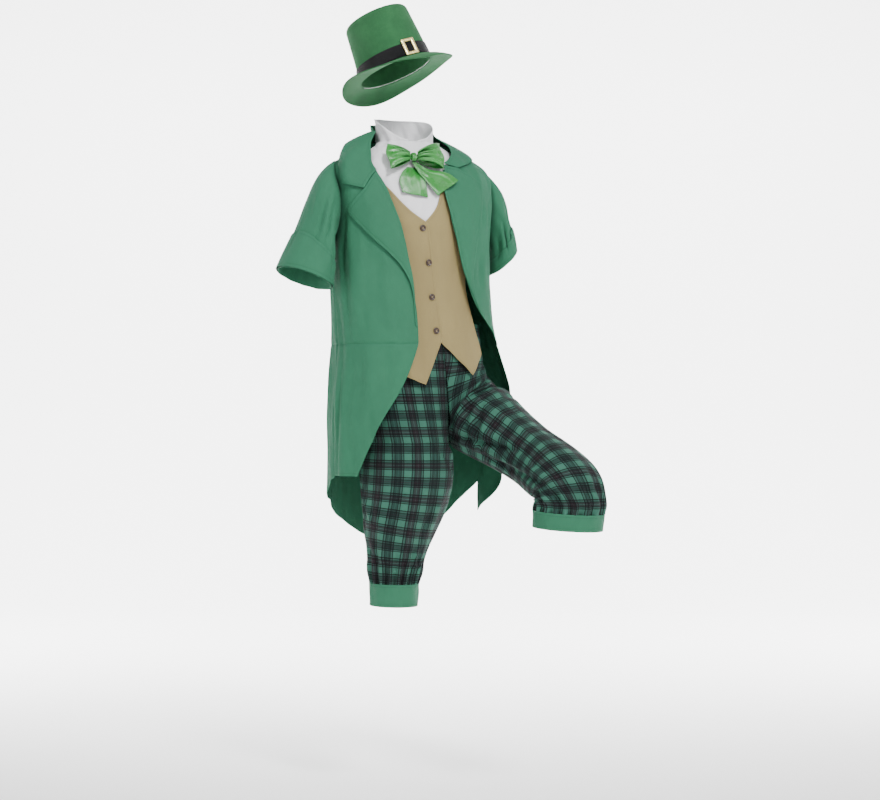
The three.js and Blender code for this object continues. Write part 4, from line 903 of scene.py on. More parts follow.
# %% [markdown]
# ## The waistcoat
# Two fronts meet in a V and overlap at the buttons, right over left. Below the last button each front
# is cut away into a point. The left front's outer edge hangs free, and a dark gap shows between it and
# the coat. Each front has the slight hollow that buttoning makes between two buttons.

# %% Waistcoat
vest = {
    "right": {
        "inner": curve([(0, -56, -22), (0.1, -45, -62), (0.2, -33.9, -99), (0.32, -17.5, -154),
                       (0.4, -4.8, -181), (1, -0.7, -437)], corners=(4,)),
        "outer": curve([(0, -74, -26), (0.2, -60, -110), (0.4, -53, -205), (0.7, -47, -350), (1, -41, -518)]),
        "hem": bent((-0.7, -437), (-22, -541), (-41, -518)),
    },
    "left": {
        "inner": curve([(0, 44, -22), (0.1, 27, -58), (0.22, 8.8, -102), (0.33, 1.8, -148), (0.42, -9, -184),
                       (1, -8, -430)], corners=(4,)),
        "outer": curve([(0, 70, -26), (0.2, 50, -110), (0.4, 36, -200), (0.62, 27.5, -305), (0.82, 35, -384),
                       (1, 43.7, -468)]),
        "hem": bent((-8, -430), (25, -519), (43.7, -468)),
    },
}
BUTTONS = [(-9.8, -191), (-6.9, -267), (-6.5, -344), (-6.0, -420)]
VEST_LIFT = 5.2
vest_folds = ridges([(-60, 250, 14, 10, 60, -0.8), (-50, 330, -10, 9, 50, 0.8), (40, 300, -8, 8, 70, -0.9),
                     (30, 400, 8, 8, 50, 0.9), (-70, 430, 6, 12, 60, 1.1), (55, 430, -12, 10, 40, -0.9)])
vest_ripple = ripple(41, 48, 170)
for name, side in SIDES.items():
    shape = vest[name]
    panel = cut(shape["inner"], shape["outer"], 42, 116, hem=shape["hem"])

    def vest_lift(u, v, angle, z, side=side):
        under = 2 * (1 - smooth((angle - 0.4) / 5)) if side == LEFT else 0
        middle = smooth((np.abs(angle + 6) - 5) / 12)
        pulls = vest_folds(angle * 2.7, -z) + 0.9 * vest_ripple(angle * 2.7, -z)
        return VEST_LIFT + 3.1 * (1 - smooth(v * 5)) - under + pulls * middle * smooth(v * 4) * 0.8

    piece = lay(f"waistcoat_{name}_cloth", body_form, panel, vest_lift, edges="all", middle=0)
    dress(piece, f"waistcoat_{name}", vest_cloth, "hung")

# %% [markdown]
# ## Four-hole buttons
# A button is turned like a small dish, with a rounded rim, and then drilled. The drilling is done with
# Boolean modifiers, because four round holes through a dish are awkward to weave into its faces by hand.
# The thread that holds it is two short bars over the holes.

# %% Turned shapes
def turned(name, outline, segments, place):
    """A solid turned about Z from an outline of (radius, height) that starts and ends on the axis."""
    points, rings, faces = [], [], []
    a = np.arange(segments) * 2 * np.pi / segments
    for radius, z in outline:
        rings.append((len(points), 1 if radius == 0 else segments))
        if radius == 0:
            points.append((0.0, 0.0, z))
        else:
            points += [(radius * math.sin(t), -radius * math.cos(t), z) for t in a]
    for (low, n_low), (high, n_high) in zip(rings[:-1], rings[1:]):
        for i in range(segments):
            j = (i + 1) % segments
            if n_low == 1:
                faces.append((low, high + j, high + i))
            elif n_high == 1:
                faces.append((low + i, low + j, high))
            else:
                faces.append((low + i, low + j, high + j, high + i))
    return solid(name, place(np.array(points, float)), faces)


def frame_from(out):
    """Three axes: across, up and out."""
    across = unit(np.cross([0.0, 0.0, 1.0], out))
    return np.stack([across, np.cross(out, across), out])


def settle(piece):
    """Applies every modifier, so that the mesh alone is left."""
    shown = piece.evaluated_get(bpy.context.evaluated_depsgraph_get())
    mesh = bpy.data.meshes.new_from_object(shown)
    piece.modifiers.clear()
    piece.data = mesh


n = Nodes("button horn")
streaks = n.noise(n.local(), 260.0, 5.0, 0.65, (1.0, 1.0, 3.0))
tone = n.mix(n.between(streaks, 0.35, 0.7), (0.022, 0.012, 0.008, 1), (0.075, 0.040, 0.024, 1))
button_brown = n.finish(tone, n.between(streaks, 0.3, 0.7, 0.22, 0.4), n.bump(streaks, 0.0001, 0.4),
                        Specular_IOR_Level=0.55, Coat_Weight=0.3, Coat_Roughness=0.2)
n = Nodes("button thread")
twist = n.noise(n.local(), 3000.0, 2.0)
thread_beige = n.finish(n.mix(twist, (0.30, 0.23, 0.13, 1), (0.42, 0.33, 0.2, 1)), 0.8,
                        n.bump(twist, 0.0002, 0.5))

# %% Buttons
HOLE_OFF, BAR = 1.35, 2.1  # how far a hole lies from the middle, half the length of a thread bar
profile = [(0, 0), (5.6, 0), (6.5, 0.25), (7.0, 0.75), (7.2, 1.3), (7.1, 1.9), (6.8, 2.35), (6.3, 2.6),
           (5.8, 2.55), (5.4, 2.3), (5.0, 1.95), (4.4, 1.75), (3.0, 1.65), (0, 1.65)]
drill_profile = [(0, -1), (0.62, -1), (0.62, 4), (0, 4)]
bar_profile = [(0, -BAR), (0.42, -1.9), (0.5, -1.2), (0.5, 1.2), (0.42, 1.9), (0, BAR)]
for i, (angle, z) in enumerate(BUTTONS, 1):
    foot = lifted(body_form, angle, z, VEST_LIFT + CLOTH + 0.6)
    axes = frame_from(outward(body_form, angle, z))

    def put(p, across=0.0, up=0.0):
        """Places points on the waistcoat, beside the button's middle."""
        return foot + (p + np.array([across, up, 0.0])) @ axes

    def laid_bar(p, up):
        """Lays a bar on its side over two holes, a little arched."""
        x, y, z = p.T
        return put(np.stack([z * 0.98, y, 1.75 + 0.5 * x + 0.28 * (1 - (z / BAR) ** 2)], axis=1), up=up)

    piece = turned(f"button_{i}", profile, 40, put)
    drills = []
    for up in (-HOLE_OFF, HOLE_OFF):
        for across in (-HOLE_OFF, HOLE_OFF):
            drill = turned("drill", drill_profile, 12, lambda p: put(p, across, up))
            hole = piece.modifiers.new("hole", "BOOLEAN")
            hole.operation, hole.object, hole.solver = "DIFFERENCE", drill, "EXACT"
            drills.append(drill)
    settle(piece)
    for drill in drills:
        bpy.data.objects.remove(drill, do_unlink=True)
    dress(piece, f"waistcoat_button_{i}", button_brown)
    piece.data.shade_smooth()
    piece.data.set_sharp_from_angle(angle=math.radians(38))
    for j, up in enumerate((-HOLE_OFF, HOLE_OFF), 1):
        bar = turned(f"button_{i}_thread_{j}", bar_profile, 10, lambda p: laid_bar(p, up))
        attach(bar, "root")
        bar.data.materials.append(thread_beige)
    print("button", i, "foot", np.round(foot, 1), "faces", len(piece.data.polygons))

# %% [markdown]
# ## The satin bow
# The bow is one wide ribbon: two loops, two tails and a knot that pinches them. Each loop runs out from
# the knot, folds over at its far end and comes back behind. Its pleats are deep at the knot and die out
# towards the fold. Satin shines because its threads lie long and flat, so its roughness is low and its
# colour deepens where it turns away. The narrow hem along the ribbon's edges is stitched.

# %% Satin
n = Nodes("green satin")
place, across, down = n.map("cloth")
_, near, run = n.map("edge")
hem = n.between(near, 0.0022, 0.0032) - 1.0
stitch = line_at(n, near, 0.0030, 0.00035) * n.between(run.wave(0.0024), -0.5, -0.1)
soft = n.noise(place, 26.0)
tone = n.mix(n.between(soft, 0.3, 0.7), (0.014, 0.190, 0.020, 1), (0.026, 0.270, 0.036, 1))
# Painted shade: the satin is darkened down to 0.3 in its pleats and where other cloth comes close.
tone = n.dimmed(n.mix(stitch, tone, (0.10, 0.42, 0.13, 1)), n.painted_crease_shade(0.016, 0.3))
normal = n.bump(n.noise(place, 70.0, 3.0, 0.5, (1.0, 0.35, 1.0)), 0.0024, 0.35)
normal = n.bump(hem * -0.8 - stitch * 0.6, 0.0006, 0.8, normal)
normal = n.bump(down.wave(0.0004), 0.00006, 0.5, normal)
satin = n.finish(tone, n.between(soft, 0.3, 0.7, 0.24, 0.32), normal, Specular_IOR_Level=0.8,
                 Anisotropic=0.45, Sheen_Weight=0.12, Sheen_Roughness=0.3,
                 Sheen_Tint=(0.3, 1.0, 0.4, 1.0))

# %% Loops
BOW_ANGLE, BOW_Z, BOW_LIFT = -12.4, -40.0, 22.0
bow_axes = frame_from(outward(body_form, BOW_ANGLE, BOW_Z))
bow_middle = lifted(body_form, BOW_ANGLE, BOW_Z, BOW_LIFT)


def bow_point(across, up, out):
    return bow_middle + xyz(across, up, out) @ bow_axes


loops = {  # long, tall, rise, back, seed
    "right": (62.0, 33.0, -2.0, 0.0, 0.4),
    "left": (72.0, 34.0, 8.0, -6.0, 2.1),
}
for name, (long, tall, rise, back, seed) in loops.items():
    side = SIDES[name]

    def loop_surface(path, share):
        out = np.clip(np.sin(np.pi * path), 0, 1) ** 0.8
        a = 2 * share - 1
        half = 9 + (tall - 9) * out**0.9
        wide = side * (8.9 + (long - 8.9) * out)
        front = np.cos(np.pi * path)
        belly = front * (3.2 + 8 * np.sin(np.pi * np.minimum(out, 1)))
        pinch = (1 - out) ** 0.8 * smooth(out * 9)
        pleat = 1.9 * np.cos(a * np.pi * 2 + seed * 0.2) * (1 - out)
        pleat = pleat + 4.2 * pinch * np.cos(a * np.pi * 3.4 + seed)
        dents = 2.6 * np.sin(np.pi * out) * np.sin(a * 3.1 + seed + 2.2 * out) * np.abs(front)
        end = 2.2 * out**6 * np.sin(a * 4.2 + seed)
        wide = wide + side * end - side * 3.0 * out**5 * a * a
        belly = belly + back * out * out * 0.6 + (pleat + dents) * np.sign(front + 1e-9)
        return bow_point(wide, a * half + rise * out, belly)

    path, share = np.meshgrid(np.linspace(0, 1, 88), np.linspace(0, 1, 40))
    flat = loop_surface(path, share)
    step = 0.004
    along = loop_surface(np.minimum(path + step, 1), share) - loop_surface(np.maximum(path - step, 0), share)
    up = loop_surface(path, np.minimum(share + 0.01, 1)) - loop_surface(path, np.maximum(share - 0.01, 0))
    normal = unit(np.cross(along, up))
    facing = bow_axes[2] * np.cos(np.pi * path)[..., None]
    facing = facing + bow_axes[0] * side * np.sin(np.pi * path)[..., None]
    way = np.where(np.sum(normal * facing, axis=-1, keepdims=True) < 0, -1, 1)
    way = np.sign(np.sum(way)) if abs(np.sum(way)) > 0.6 * way.size else way
    piece = cloth_mesh(f"bow_loop_{name}_ribbon", flat, flat + normal * way * SATIN, edges="ends", middle=44)
    dress(piece, f"bow_loop_{name}", satin, "folded")

# %% Knot
KNOT_WIDE, KNOT_HIGH = 8.3, 9.5
slopes = np.radians(np.linspace(-90, 90, 40)[1:-1])
profile = [(KNOT_WIDE * math.cos(t) ** 0.6, KNOT_HIGH * math.sin(t)) for t in slopes]
profile = [(0, -KNOT_HIGH), *profile, (0, KNOT_HIGH)]


def knot_place(p):
    turn = np.arctan2(p[:, 0], -p[:, 1])
    wave = 1 + 0.055 * np.cos(turn * 9 + p[:, 2] * 0.16) * np.cos(np.radians(p[:, 2] / KNOT_HIGH * 80))
    wave = wave - 0.09 * np.exp(-((np.degrees(turn) - 12 + p[:, 2] * 2.2) / 10) ** 2)
    return bow_point(p[:, 0] * wave, p[:, 2], -p[:, 1] * 0.95 * wave - 1)


piece = turned("bow_knot_ribbon", profile, 90, knot_place)
mesh = piece.data
for title in ("cloth", "edge"):
    layer = mesh.uv_layers.new(name=title)
    for loop in mesh.loops:
        x, y, z = mesh.vertices[loop.vertex_index].co
        layer.data[loop.index].uv = (x + y, z) if title == "cloth" else (0.02, z)
dress(piece, "bow_knot", satin)

# %% Tails
tails = {  # lift, how much more at the root, flare, inner edge, outer edge, seed
    "right": (3.1, 0.0, 0.0, [(0, -16.4, -54), (0.25, -21, -69), (0.5, -23.5, -84), (1, -23, -113)],
              [(0, -8.6, -55.5), (0.4, -5.2, -82), (1, -4, -122)], 0.7),
    "left": (5.4, 7.5, 21.8, [(0, -13.6, -46), (0.4, -6, -80), (1, 3, -118)],
             [(0, -9.9, -46), (0.25, -1, -63), (0.5, 8, -71), (1, 17.5, -87)], 2.4),
}
for name, (lift, root, flare, inner, outer, seed) in tails.items():
    grid, (u, v) = cut(curve(inner), curve(outer), 44, 54)
    open_out = 0.4 + 0.6 * v
    wave = 1.4 * np.cos(u * np.pi * 3) * open_out + 0.9 * np.cos(u * np.pi * 6 + seed) * (1 - v)
    wave = (wave + 0.5 * np.sin(v * 7 + u * 3 + seed)) * np.minimum(1, v * 4)
    rise = lift + root * (1 - smooth(v * 3)) + 5.4 * smooth(v * 2)
    rise = rise + flare * smooth(u * 1.25) * smooth(v * 1.4) + wave
    shapes = [lifted(body_form, grid[..., 0], grid[..., 1], rise + d) for d in (0, SATIN)]
    piece = cloth_mesh(f"bow_tail_{name}_ribbon", *shapes, edges="all", middle=22)
    dress(piece, f"bow_tail_{name}", satin, "hung")

# %% [markdown]
# ## The breeches
# Each leg is cut as a front and a back. At the hips the two legs share one oval, and below the fork each
# leg becomes a ring of its own. The right leg hangs straight, and the left thigh is raised, so the left
# leg's rings turn with it. The `cloth` map is measured from each panel's middle line, as a cutter lays the
# grain, so the check stays square and its stripes run off at the seams. Where the thigh is raised the
# cloth creases: across the groin, along the underside of the thigh and behind the knee.

# %% Legs
legs = {
    "right": (np.array([-1.0, -0.06, 0.0]), curve([
        (0.36, 50, -18, -672, 0, 0, -1, 95.4, 98), (0.5, 50, -25, -740, -0.03, 0, -1, 108, 100),
        (0.64, 43, -25, -806, -0.1, 0, -1, 99, 96), (0.78, 32, -24, -872, -0.15, 0, -1, 81, 84),
        (0.9, 25, -24, -935, -0.08, 0, -1, 64, 70), (1, 21, -24, -993, -0.02, 0, -1, 54, 58)])),
    "left": (np.array([0.78, 0.18, 0.6]), curve([
        (0.36, 217, 4, -617, 0.6, -0.55, -0.58, 90, 98),
        (0.5, 285.5, -39.5, -665, 0.68, -0.55, -0.48, 76, 88),
        (0.62, 335.5, -81.5, -702, 0.66, -0.6, -0.45, 71, 82),
        (0.74, 378.5, -134.5, -737.5, 0.5, -0.62, -0.6, 76, 83),
        (0.86, 408, -172, -772, 0.2, -0.35, -0.91, 80, 82), (0.94, 413, -181, -800, 0, 0, -1, 76, 77),
        (1, 410, -180, -822, -0.06, 0.03, -1, 77, 77)])),
}
HIP_TOP, WAIST_LIFT, ROOT = -402.0, 2.4, 0.36
GATHERS, AROUND, DOWNWARD = 19, 1.5, 520.0  # millimetres for a degree round a leg and for its whole length
leg_rows = {  # turn, share, lean, width, length in millimetres, height
    "right": [(60, 0.42, 0, 42, 80, 6), (120, 0.5, 0, 32, 100, -5), (210, 0.6, 0, 42, 100, 6),
              (320, 0.5, 0, 36, 100, -5), (95, 0.78, 0, 34, 70, 5), (20, 0.82, 0, 34, 60, 4),
              (10, 0.62, 24, 8, 60, -7), (24, 0.66, 24, 9, 60, 5), (4, 0.72, 34, 7, 44, -6),
              (150, 0.44, 40, 8, 46, -6.5), (164, 0.4, 48, 8, 46, 5), (172, 0.5, 30, 8, 50, -5.5),
              (136, 0.4, 36, 8, 40, 4), (60, 0.9, 82, 6, 30, 3.4), (110, 0.87, 96, 6, 34, -4),
              (90, 0.93, 88, 5, 40, 3.2), (30, 0.88, 70, 6, 26, -3.6), (140, 0.92, 84, 6, 28, 3.4),
              (75, 0.6, 6, 14, 90, -3.4), (104, 0.66, -5, 13, 90, 3.4), (128, 0.74, -8, 9, 60, -4),
              (52, 0.74, 10, 9, 60, 3)],
    "left": [(100, 0.7, 0, 49, 70, 5), (200, 0.8, 0, 34, 50, -7), (30, 0.6, 0, 40, 100, -4),
             (138, 0.52, -25, 7, 100, -8), (151, 0.67, -16, 8, 130, -8), (146, 0.6, -20, 16, 100, 4.5),
             (124, 0.5, -25, 12, 80, 3.5), (166, 0.58, -12, 6, 70, -5), (118, 0.76, -26, 5, 50, -4),
             (90, 0.375, 75, 7, 92, -12), (80, 0.32, 77, 7, 84, -12), (85, 0.265, 71, 7, 66, -10),
             (112, 0.43, 69, 7, 68, -11), (85, 0.21, 68, 6.5, 54, -9), (134, 0.34, 60, 5, 40, -6),
             (88, 0.35, 76, 9, 80, 4.5), (82, 0.295, 74, 9, 70, 4.5), (104, 0.4, 72, 9, 60, 4),
             (86, 0.238, 70, 8, 50, 4), (40, 0.42, 82, 7, 50, -4), (58, 0.46, 78, 8, 40, 3),
             (30, 0.36, 84, 6, 40, -4.5), (170, 0.88, 84, 6, 40, -7), (176, 0.91, 90, 6, 42, 5),
             (184, 0.84, 78, 7, 44, -6.5), (160, 0.94, 84, 5, 36, 4), (152, 0.86, 70, 6, 36, -5),
             (120, 0.92, 100, 6, 34, -4), (90, 0.94, 92, 5, 36, 3.4), (60, 0.9, 80, 6, 30, -3.4),
             (60, 0.5, -8, 12, 90, -3.4), (84, 0.56, -6, 12, 90, 3.4), (40, 0.7, 4, 10, 60, -3)],
}
leg_folds = {name: ridges(rows, AROUND, DOWNWARD) for name, rows in leg_rows.items()}
leg_ripple = {"right": ripple(51, 62, 150), "left": ripple(52, 62, 150)}


def leg_fold(name, turn, share):
    faint = leg_ripple[name](np.abs((turn + 180) % 360 - 180) * AROUND, share * DOWNWARD)
    return 0.9 * faint + leg_folds[name](turn, share)


def leg_ring(name, turn, share, spread):
    outer, rows = legs[name]
    x, y, z, dx, dy, dz, wide, deep = np.moveaxis(rows(np.maximum(share, ROOT)), -1, 0)
    way = unit(xyz(dx, dy, dz))
    aside = unit(outer - way * np.sum(way * outer, axis=-1, keepdims=True))
    front = unit(np.cross(way, aside) * SIDES[name])
    c, s = np.cos(np.radians(turn)), np.sin(np.radians(turn))
    return xyz(x, y, z) + aside * ((wide + spread) * c)[..., None] + front * ((deep + spread) * s)[..., None]


def breeches_surface(name):
    side = SIDES[name]

    def at(turn, share):
        leg = smooth((share - 0.14) / (ROOT - 0.14))
        seam_off = np.abs((turn + 90) % 180 - 90) * AROUND
        seam = -0.9 * np.exp(-((seam_off / 3.4) ** 2))
        fold = leg_fold(name, turn % 360, share) * smooth((share - 0.06) / 0.1) * smooth((1 - share) / 0.07)
        apart = smooth(seam_off / 16)
        gather = smooth((share - 0.8) / 0.18)
        pinch = 4.4 * np.cos(np.radians(GATHERS * turn + 60 * np.sin(np.radians(turn * 3)))) * gather
        full = 2.4 * smooth((share - 0.9) / 0.05) * smooth((0.998 - share) / 0.04)
        spread = fold * (0.35 + 0.65 * apart) + pinch + full + seam
        ring = leg_ring(name, turn, share, spread)
        z = HIP_TOP - 175 * np.minimum(share / ROOT, 1)
        hip = np.clip(90 - turn / 2, 0.2, 179.8)
        waist = WAIST_LIFT * (1 - smooth((share - 0.04) / 0.1))
        middle = smooth((hip - 4) / 12) * smooth((176 - hip) / 12)
        waist = waist + (fold * apart * 0.8 + seam) * smooth(share / 0.1) * middle
        hips = lifted(body_form, side * hip, z, waist)
        leg = leg[..., None]
        return hips * (1 - leg) + ring * leg

    return at


for name in SIDES:
    for face, sign in (("front", 1), ("back", -1)):
        turns = sign * np.linspace(0.25, 179.75, 92)
        piece = wrapped(f"breeches_{face}_{name}_cloth", breeches_surface(name), turns,
                        np.linspace(0, 1, 176), -CLOTH, edges="none", middle=46)
        dress(piece, f"breeches_{face}_{name}", check_cloth, "gathered")

# %% [markdown]
# ## Knee bands
# The gathers are taken up in a plain band of the coat's cloth. It is cut straight and pulled snug, so it
# only shows small wrinkles that the gathers push into its upper edge.

# %% Knee bands
KNEE_BAND, KNEE_BANDS_TALL = 2.0, {"right": 50.0, "left": 36.0}
for name, side in SIDES.items():
    way = unit(legs[name][1](1.0)[3:6])
    bulge = ripple(60 + side, 40, 60)

    def hoop(turn, share, name=name, way=way, bulge=bulge):
        pushed = 0.5 * np.cos(np.radians(GATHERS * turn)) * smooth(1 - share * 3)
        soft = 0.7 * bulge(np.abs((turn + 180) % 360 - 180), share * 40)
        soft = soft * np.sin(np.pi * np.clip(share, 0, 1))
        ring = leg_ring(name, turn, np.ones_like(share), 1 - 1.5 * share + pushed + soft)
        return ring + way * (0.6 + share * KNEE_BANDS_TALL[name])[..., None]

    piece = wrapped(f"knee_band_{name}_cloth", hoop, full_turn(132), np.linspace(0, 1, 18), thick=KNEE_BAND,
                    closed=True, edges="ends")
    dress(piece, f"knee_band_{name}", band_cloth, "stretched")

# %% [markdown]
# ## The hat
# A costume top hat is blocked from stiff felt: an oval crown that narrows upwards, with a rounded top
# edge, and a brim that dips before and behind. It is tilted, and it stands above the collar and clear of
# it. Felt has no threads. It is a mat of short hairs, so its material is a fine noise and a soft bloom.

# %% Felt, ribbon and metal
n = Nodes("green felt")
place = n.local()
hairs, mottle = n.noise(place, 900.0, 6.0, 0.75), n.noise(place, 28.0, 4.0, 0.6)
tone = n.mix(n.between(mottle, 0.3, 0.7), (0.019, 0.092, 0.034, 1), (0.026, 0.118, 0.044, 1))
tone = n.mix(n.between(hairs, 0.52, 0.75) * 0.35, tone, (0.13, 0.36, 0.17, 1))
normal = n.bump(n.noise(place, 260.0, 5.0, 0.7, (1.0, 1.0, 3.5)), 0.0009, 0.35)
normal = n.bump(hairs, 0.0005, 0.6, normal)
hat_felt = n.finish(tone, n.between(mottle, 0.3, 0.7, 0.88, 0.97), normal, Specular_IOR_Level=0.2,
                    Sheen_Weight=0.2, Sheen_Roughness=0.5, Sheen_Tint=(0.35, 0.75, 0.42, 1.0))
n = Nodes("black ribbon")
place, across, down = n.map("cloth")
ribs = across.wave(0.0013)
tone = n.mix(n.between(n.noise(place, 40.0), 0.3, 0.7), (0.003, 0.003, 0.004, 1), (0.008, 0.008, 0.010, 1))
normal = n.bump(ribs + down.wave(0.0007) * 0.3, 0.0003, 0.7)
normal = n.bump(n.between(n.map("edge")[1], 0.0012, 0.0018), 0.0003, 0.5, normal)
hat_ribbon = n.finish(tone, n.between(ribs, -1.0, 1.0, 0.62, 0.5), normal, Specular_IOR_Level=0.2)
n = Nodes("pale gold metal")
place = n.local()
dents = n.make("ShaderNodeTexVoronoi", feature="SMOOTH_F1")
n.feed(dents.inputs["Vector"], place)
n.feed(dents.inputs["Scale"], 330.0)
grime = n.noise(place, 160.0, 5.0, 0.65)
tone = n.mix(n.between(grime, 0.4, 0.75), (0.86, 0.72, 0.34, 1), (0.55, 0.42, 0.16, 1))
gold = n.finish(tone, n.between(grime, 0.3, 0.7, 0.22, 0.38), n.bump(Wire(n, dents.outputs[0]), 0.0007, 0.5),
                Metallic=1.0)
print("felt, ribbon and metal:", hat_felt.name, hat_ribbon.name, gold.name)

# %% Where the hat stands
HAT_BASE, LEAN, BACK, TURN, FRONT, BESIDE = (24.0, -10.0, 180.0), -19.0, 4.0, 27.0, 100.0, 83.0


def turning(axis, degrees):
    a = math.radians(degrees)
    c, s = math.cos(a), math.sin(a)
    return np.array({"x": [[1, 0, 0], [0, c, -s], [0, s, c]], "y": [[c, 0, s], [0, 1, 0], [-s, 0, c]],
                     "z": [[c, -s, 0], [s, c, 0], [0, 0, 1]]}[axis])


hat_turn = turning("y", LEAN) @ turning("z", TURN) @ turning("x", -BACK)


def hat_place(p):
    return np.asarray(p) @ hat_turn.T + np.array(HAT_BASE)


def hat_oval(p):
    r = np.hypot(p[:, 0], p[:, 1])
    safe = np.maximum(r, 1e-9)
    dents = 1 + 0.006 * np.sin(3 * np.arctan2(p[:, 0], p[:, 1]) + p[:, 2] * 0.03) * smooth(p[:, 2] / 60)
    sx, sy = p[:, 0] / safe * BESIDE * r * dents, p[:, 1] / safe * FRONT * r * dents
    return hat_place(np.stack([sx, sy, p[:, 2]], axis=1))


# %% Crown
TALL, TAPER, ROUND = 132.0, 0.86, 9.0


def narrowed(z):
    return 1 - (1 - TAPER) * (z / TALL)


outside = [(narrowed(z), z) for z in np.linspace(0, TALL - ROUND, 30)]
outside += [(TAPER - 0.1 * (1 - math.cos(a)), TALL - ROUND + ROUND * math.sin(a))
            for a in np.linspace(0, math.pi / 2, 10)[1:]]
inside = [(r - FELT / 90, max(z - FELT * (z > TALL - ROUND - 1), 0)) for r, z in outside]
lid = (0.68, 0.58, 0.46, 0.34, 0.22, 0.1, 0)
outline = [(r, TALL - FELT) for r in lid[::-1]] + inside[::-1] + outside + [(r, TALL) for r in lid]
piece = turned("hat_crown_felt", outline, 120, hat_oval)
dress(piece, "hat_crown", hat_felt)

# %% Brim
BRIM = 46.0
dips = curve([(0, -23), (45, -20), (90, -8), (135, -16), (180, -28), (225, -16), (270, 4), (315, -6),
              (360, -23)])


def brim(turn, share):
    s, c = np.sin(np.radians(turn)), np.cos(np.radians(turn))
    dip = dips(turn % 360)[..., 0] * (0.35 * share + 0.65 * share * share)
    reach = 0.6 + BRIM * share
    return hat_place(xyz(s * (BESIDE + reach), -c * (FRONT + reach), dip))


over = hat_place(np.array([0.0, 0.0, 400.0]))  # the brim's felt lies on its lower side, away from here
piece = wrapped("hat_brim_felt", brim, full_turn(150), np.linspace(0, 1, 18), thick=FELT, heart=over,
                closed=True, edges="ends", rim=0.6)
dress(piece, "hat_brim", hat_felt)

# %% Ribbon band
BAND_FROM, BAND_TALL, BAND_THICK = 3.4, 28.0, 1.2


def band(turn, share):
    z = BAND_FROM + BAND_TALL * share
    s, c = np.sin(np.radians(turn)), np.cos(np.radians(turn))
    return hat_place(xyz(s * (BESIDE * narrowed(z) + 0.7), -c * (FRONT * narrowed(z) + 0.7), z))


piece = wrapped("hat_band_ribbon", band, full_turn(150), np.linspace(0, 1, 9), thick=BAND_THICK,
                closed=True, edges="ends")
dress(piece, "hat_band", hat_ribbon, "stretched")

# %% [markdown]
# ## The buckle
# The buckle is a flat frame with rounded arms. It is made as one loop of cross sections that runs round a
# rectangle, which gives clean corners and an open middle. It leans back a little at the top, as the crown
# does.

# %% Buckle
WIDE, HIGH, ARM, THICK, UP = 33.0, 41.0, 8.5, 2.4, 3.0
section = [(0, 0), (0.02, 0.5), (0.12, 0.86), (0.3, 1.0), (0.7, 1.0), (0.88, 0.86), (0.98, 0.5), (1, 0)]
points = []  # across, ahead, up
for quarter, (sx, sy) in enumerate(((1, 1), (-1, 1), (-1, -1), (1, -1))):
    for a in np.radians(quarter * 90 + np.linspace(0, 90, 6)):
        for inset, high in section:
            r = 2.6 * (1 - inset) + 0.9 * inset
            points.append((sx * (WIDE / 2 - ARM * inset - r) + r * math.cos(a), -THICK * high,
                           sy * (HIGH / 2 - ARM * inset - r) + r * math.sin(a)))
i, j = np.divmod(np.arange(len(points)), len(section))
after, along = (i + 1) % (len(points) // len(section)), (j + 1) % len(section)
faces = np.stack([i * 8 + j, i * 8 + along, after * 8 + along, after * 8 + j], axis=1)
z = BAND_FROM + BAND_TALL / 2
on_band = np.array([0, -(FRONT * narrowed(z) + 0.6 + BAND_THICK + 1.6), z + UP])
buckle = solid("buckle_frame", hat_place(np.array(points) @ turning("x", -7).T + on_band), faces.tolist())
dress(buckle, "hat_buckle", gold)
buckle.data.set_sharp_from_angle(angle=math.radians(50))
print("buckle faces", len(buckle.data.polygons))

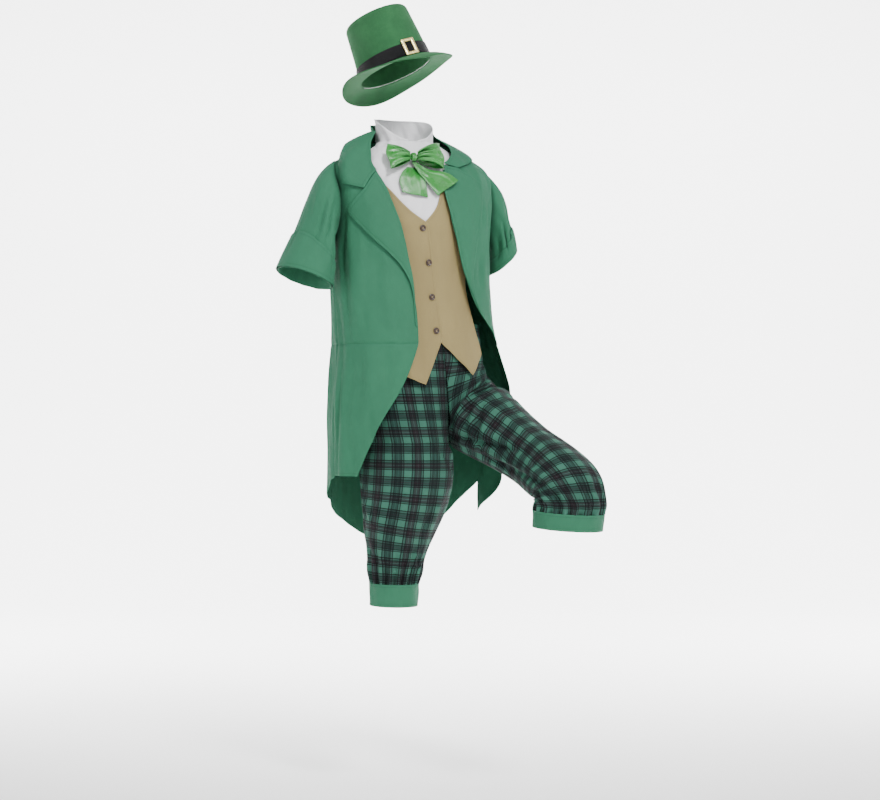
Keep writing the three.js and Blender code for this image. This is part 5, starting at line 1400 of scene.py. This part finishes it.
# %% [markdown]
# ## The studio
# The costume is shown as clothes are in a catalogue: a pale floor that meets a pale backdrop, one soft
# lamp high in front and to the right, a weak large one on the left and two lamps that light the backdrop.
# Large lamps give wide soft shadows, and the folds stay readable. The camera stands a few metres off
# with a longish lens, so the near sleeve isn't drawn too large.

# %% Floor and light
FLOOR, BEND = -1.49, 2.5
n = Nodes("pale floor")
floor_paint = n.finish(n.mix(n.noise(n.local(), 3.0), (0.93, 0.93, 0.93, 1), (0.95, 0.95, 0.95, 1)), 0.75)
bend = [(4 + BEND * math.sin(a), BEND - BEND * math.cos(a)) for a in np.linspace(0, math.pi / 2, 16)]
points = [(x, y, FLOOR + z) for y, z in [(-9, 0), *bend, (6.5, 9)] for x in (-14, 14)]
mesh = bpy.data.meshes.new("backdrop")
mesh.from_pydata(points, [], [(i, i + 1, i + 3, i + 2) for i in range(0, len(points) - 2, 2)])
mesh.materials.append(floor_paint)
mesh.shade_smooth()
backdrop = placed("backdrop", mesh)


def lamp(name, place, target, size, watts):
    light = bpy.data.lights.new(name, "AREA")
    light.shape, light.size, light.energy = "DISK", size, watts
    item = placed(name, light)
    item.location = place
    x, y, z = np.array(target, float) - np.array(place, float)
    item.rotation_euler = (math.pi / 2 + math.atan2(z, math.hypot(x, y)), 0, math.atan2(y, x) - math.pi / 2)


lamp("key", (1.6, -3.4, 2.6), (0.1, 0, -0.4), 0.9, 235)
lamp("fill", (-3.2, -2.8, 0.6), (0.1, 0, -0.5), 2.6, 40)
lamp("backdrop left", (-2.6, 2.2, 1.4), (-0.6, 6, -0.6), 2.4, 700)
lamp("backdrop right", (2.8, 2.2, 1.4), (0.8, 6, -0.6), 2.4, 700)
world = bpy.data.worlds.new("studio")
bpy.context.scene.world = world
world.use_nodes = True
sky = world.node_tree.nodes["Background"]
sky.inputs["Color"].default_value, sky.inputs["Strength"].default_value = (1, 1, 1, 1), 0.76

# %% Camera
camera = bpy.data.cameras.new("camera")
camera.sensor_fit, camera.sensor_width = "HORIZONTAL", 36.0
camera.lens = 36.0 * 4.5 / 2.024
eye = placed("camera", camera)
eye.location, eye.rotation_euler = (0.126, -4.5, -0.575), (math.pi / 2, 0, 0)
bpy.context.scene.camera = eye
print("camera lens", round(camera.lens, 1), "mm")
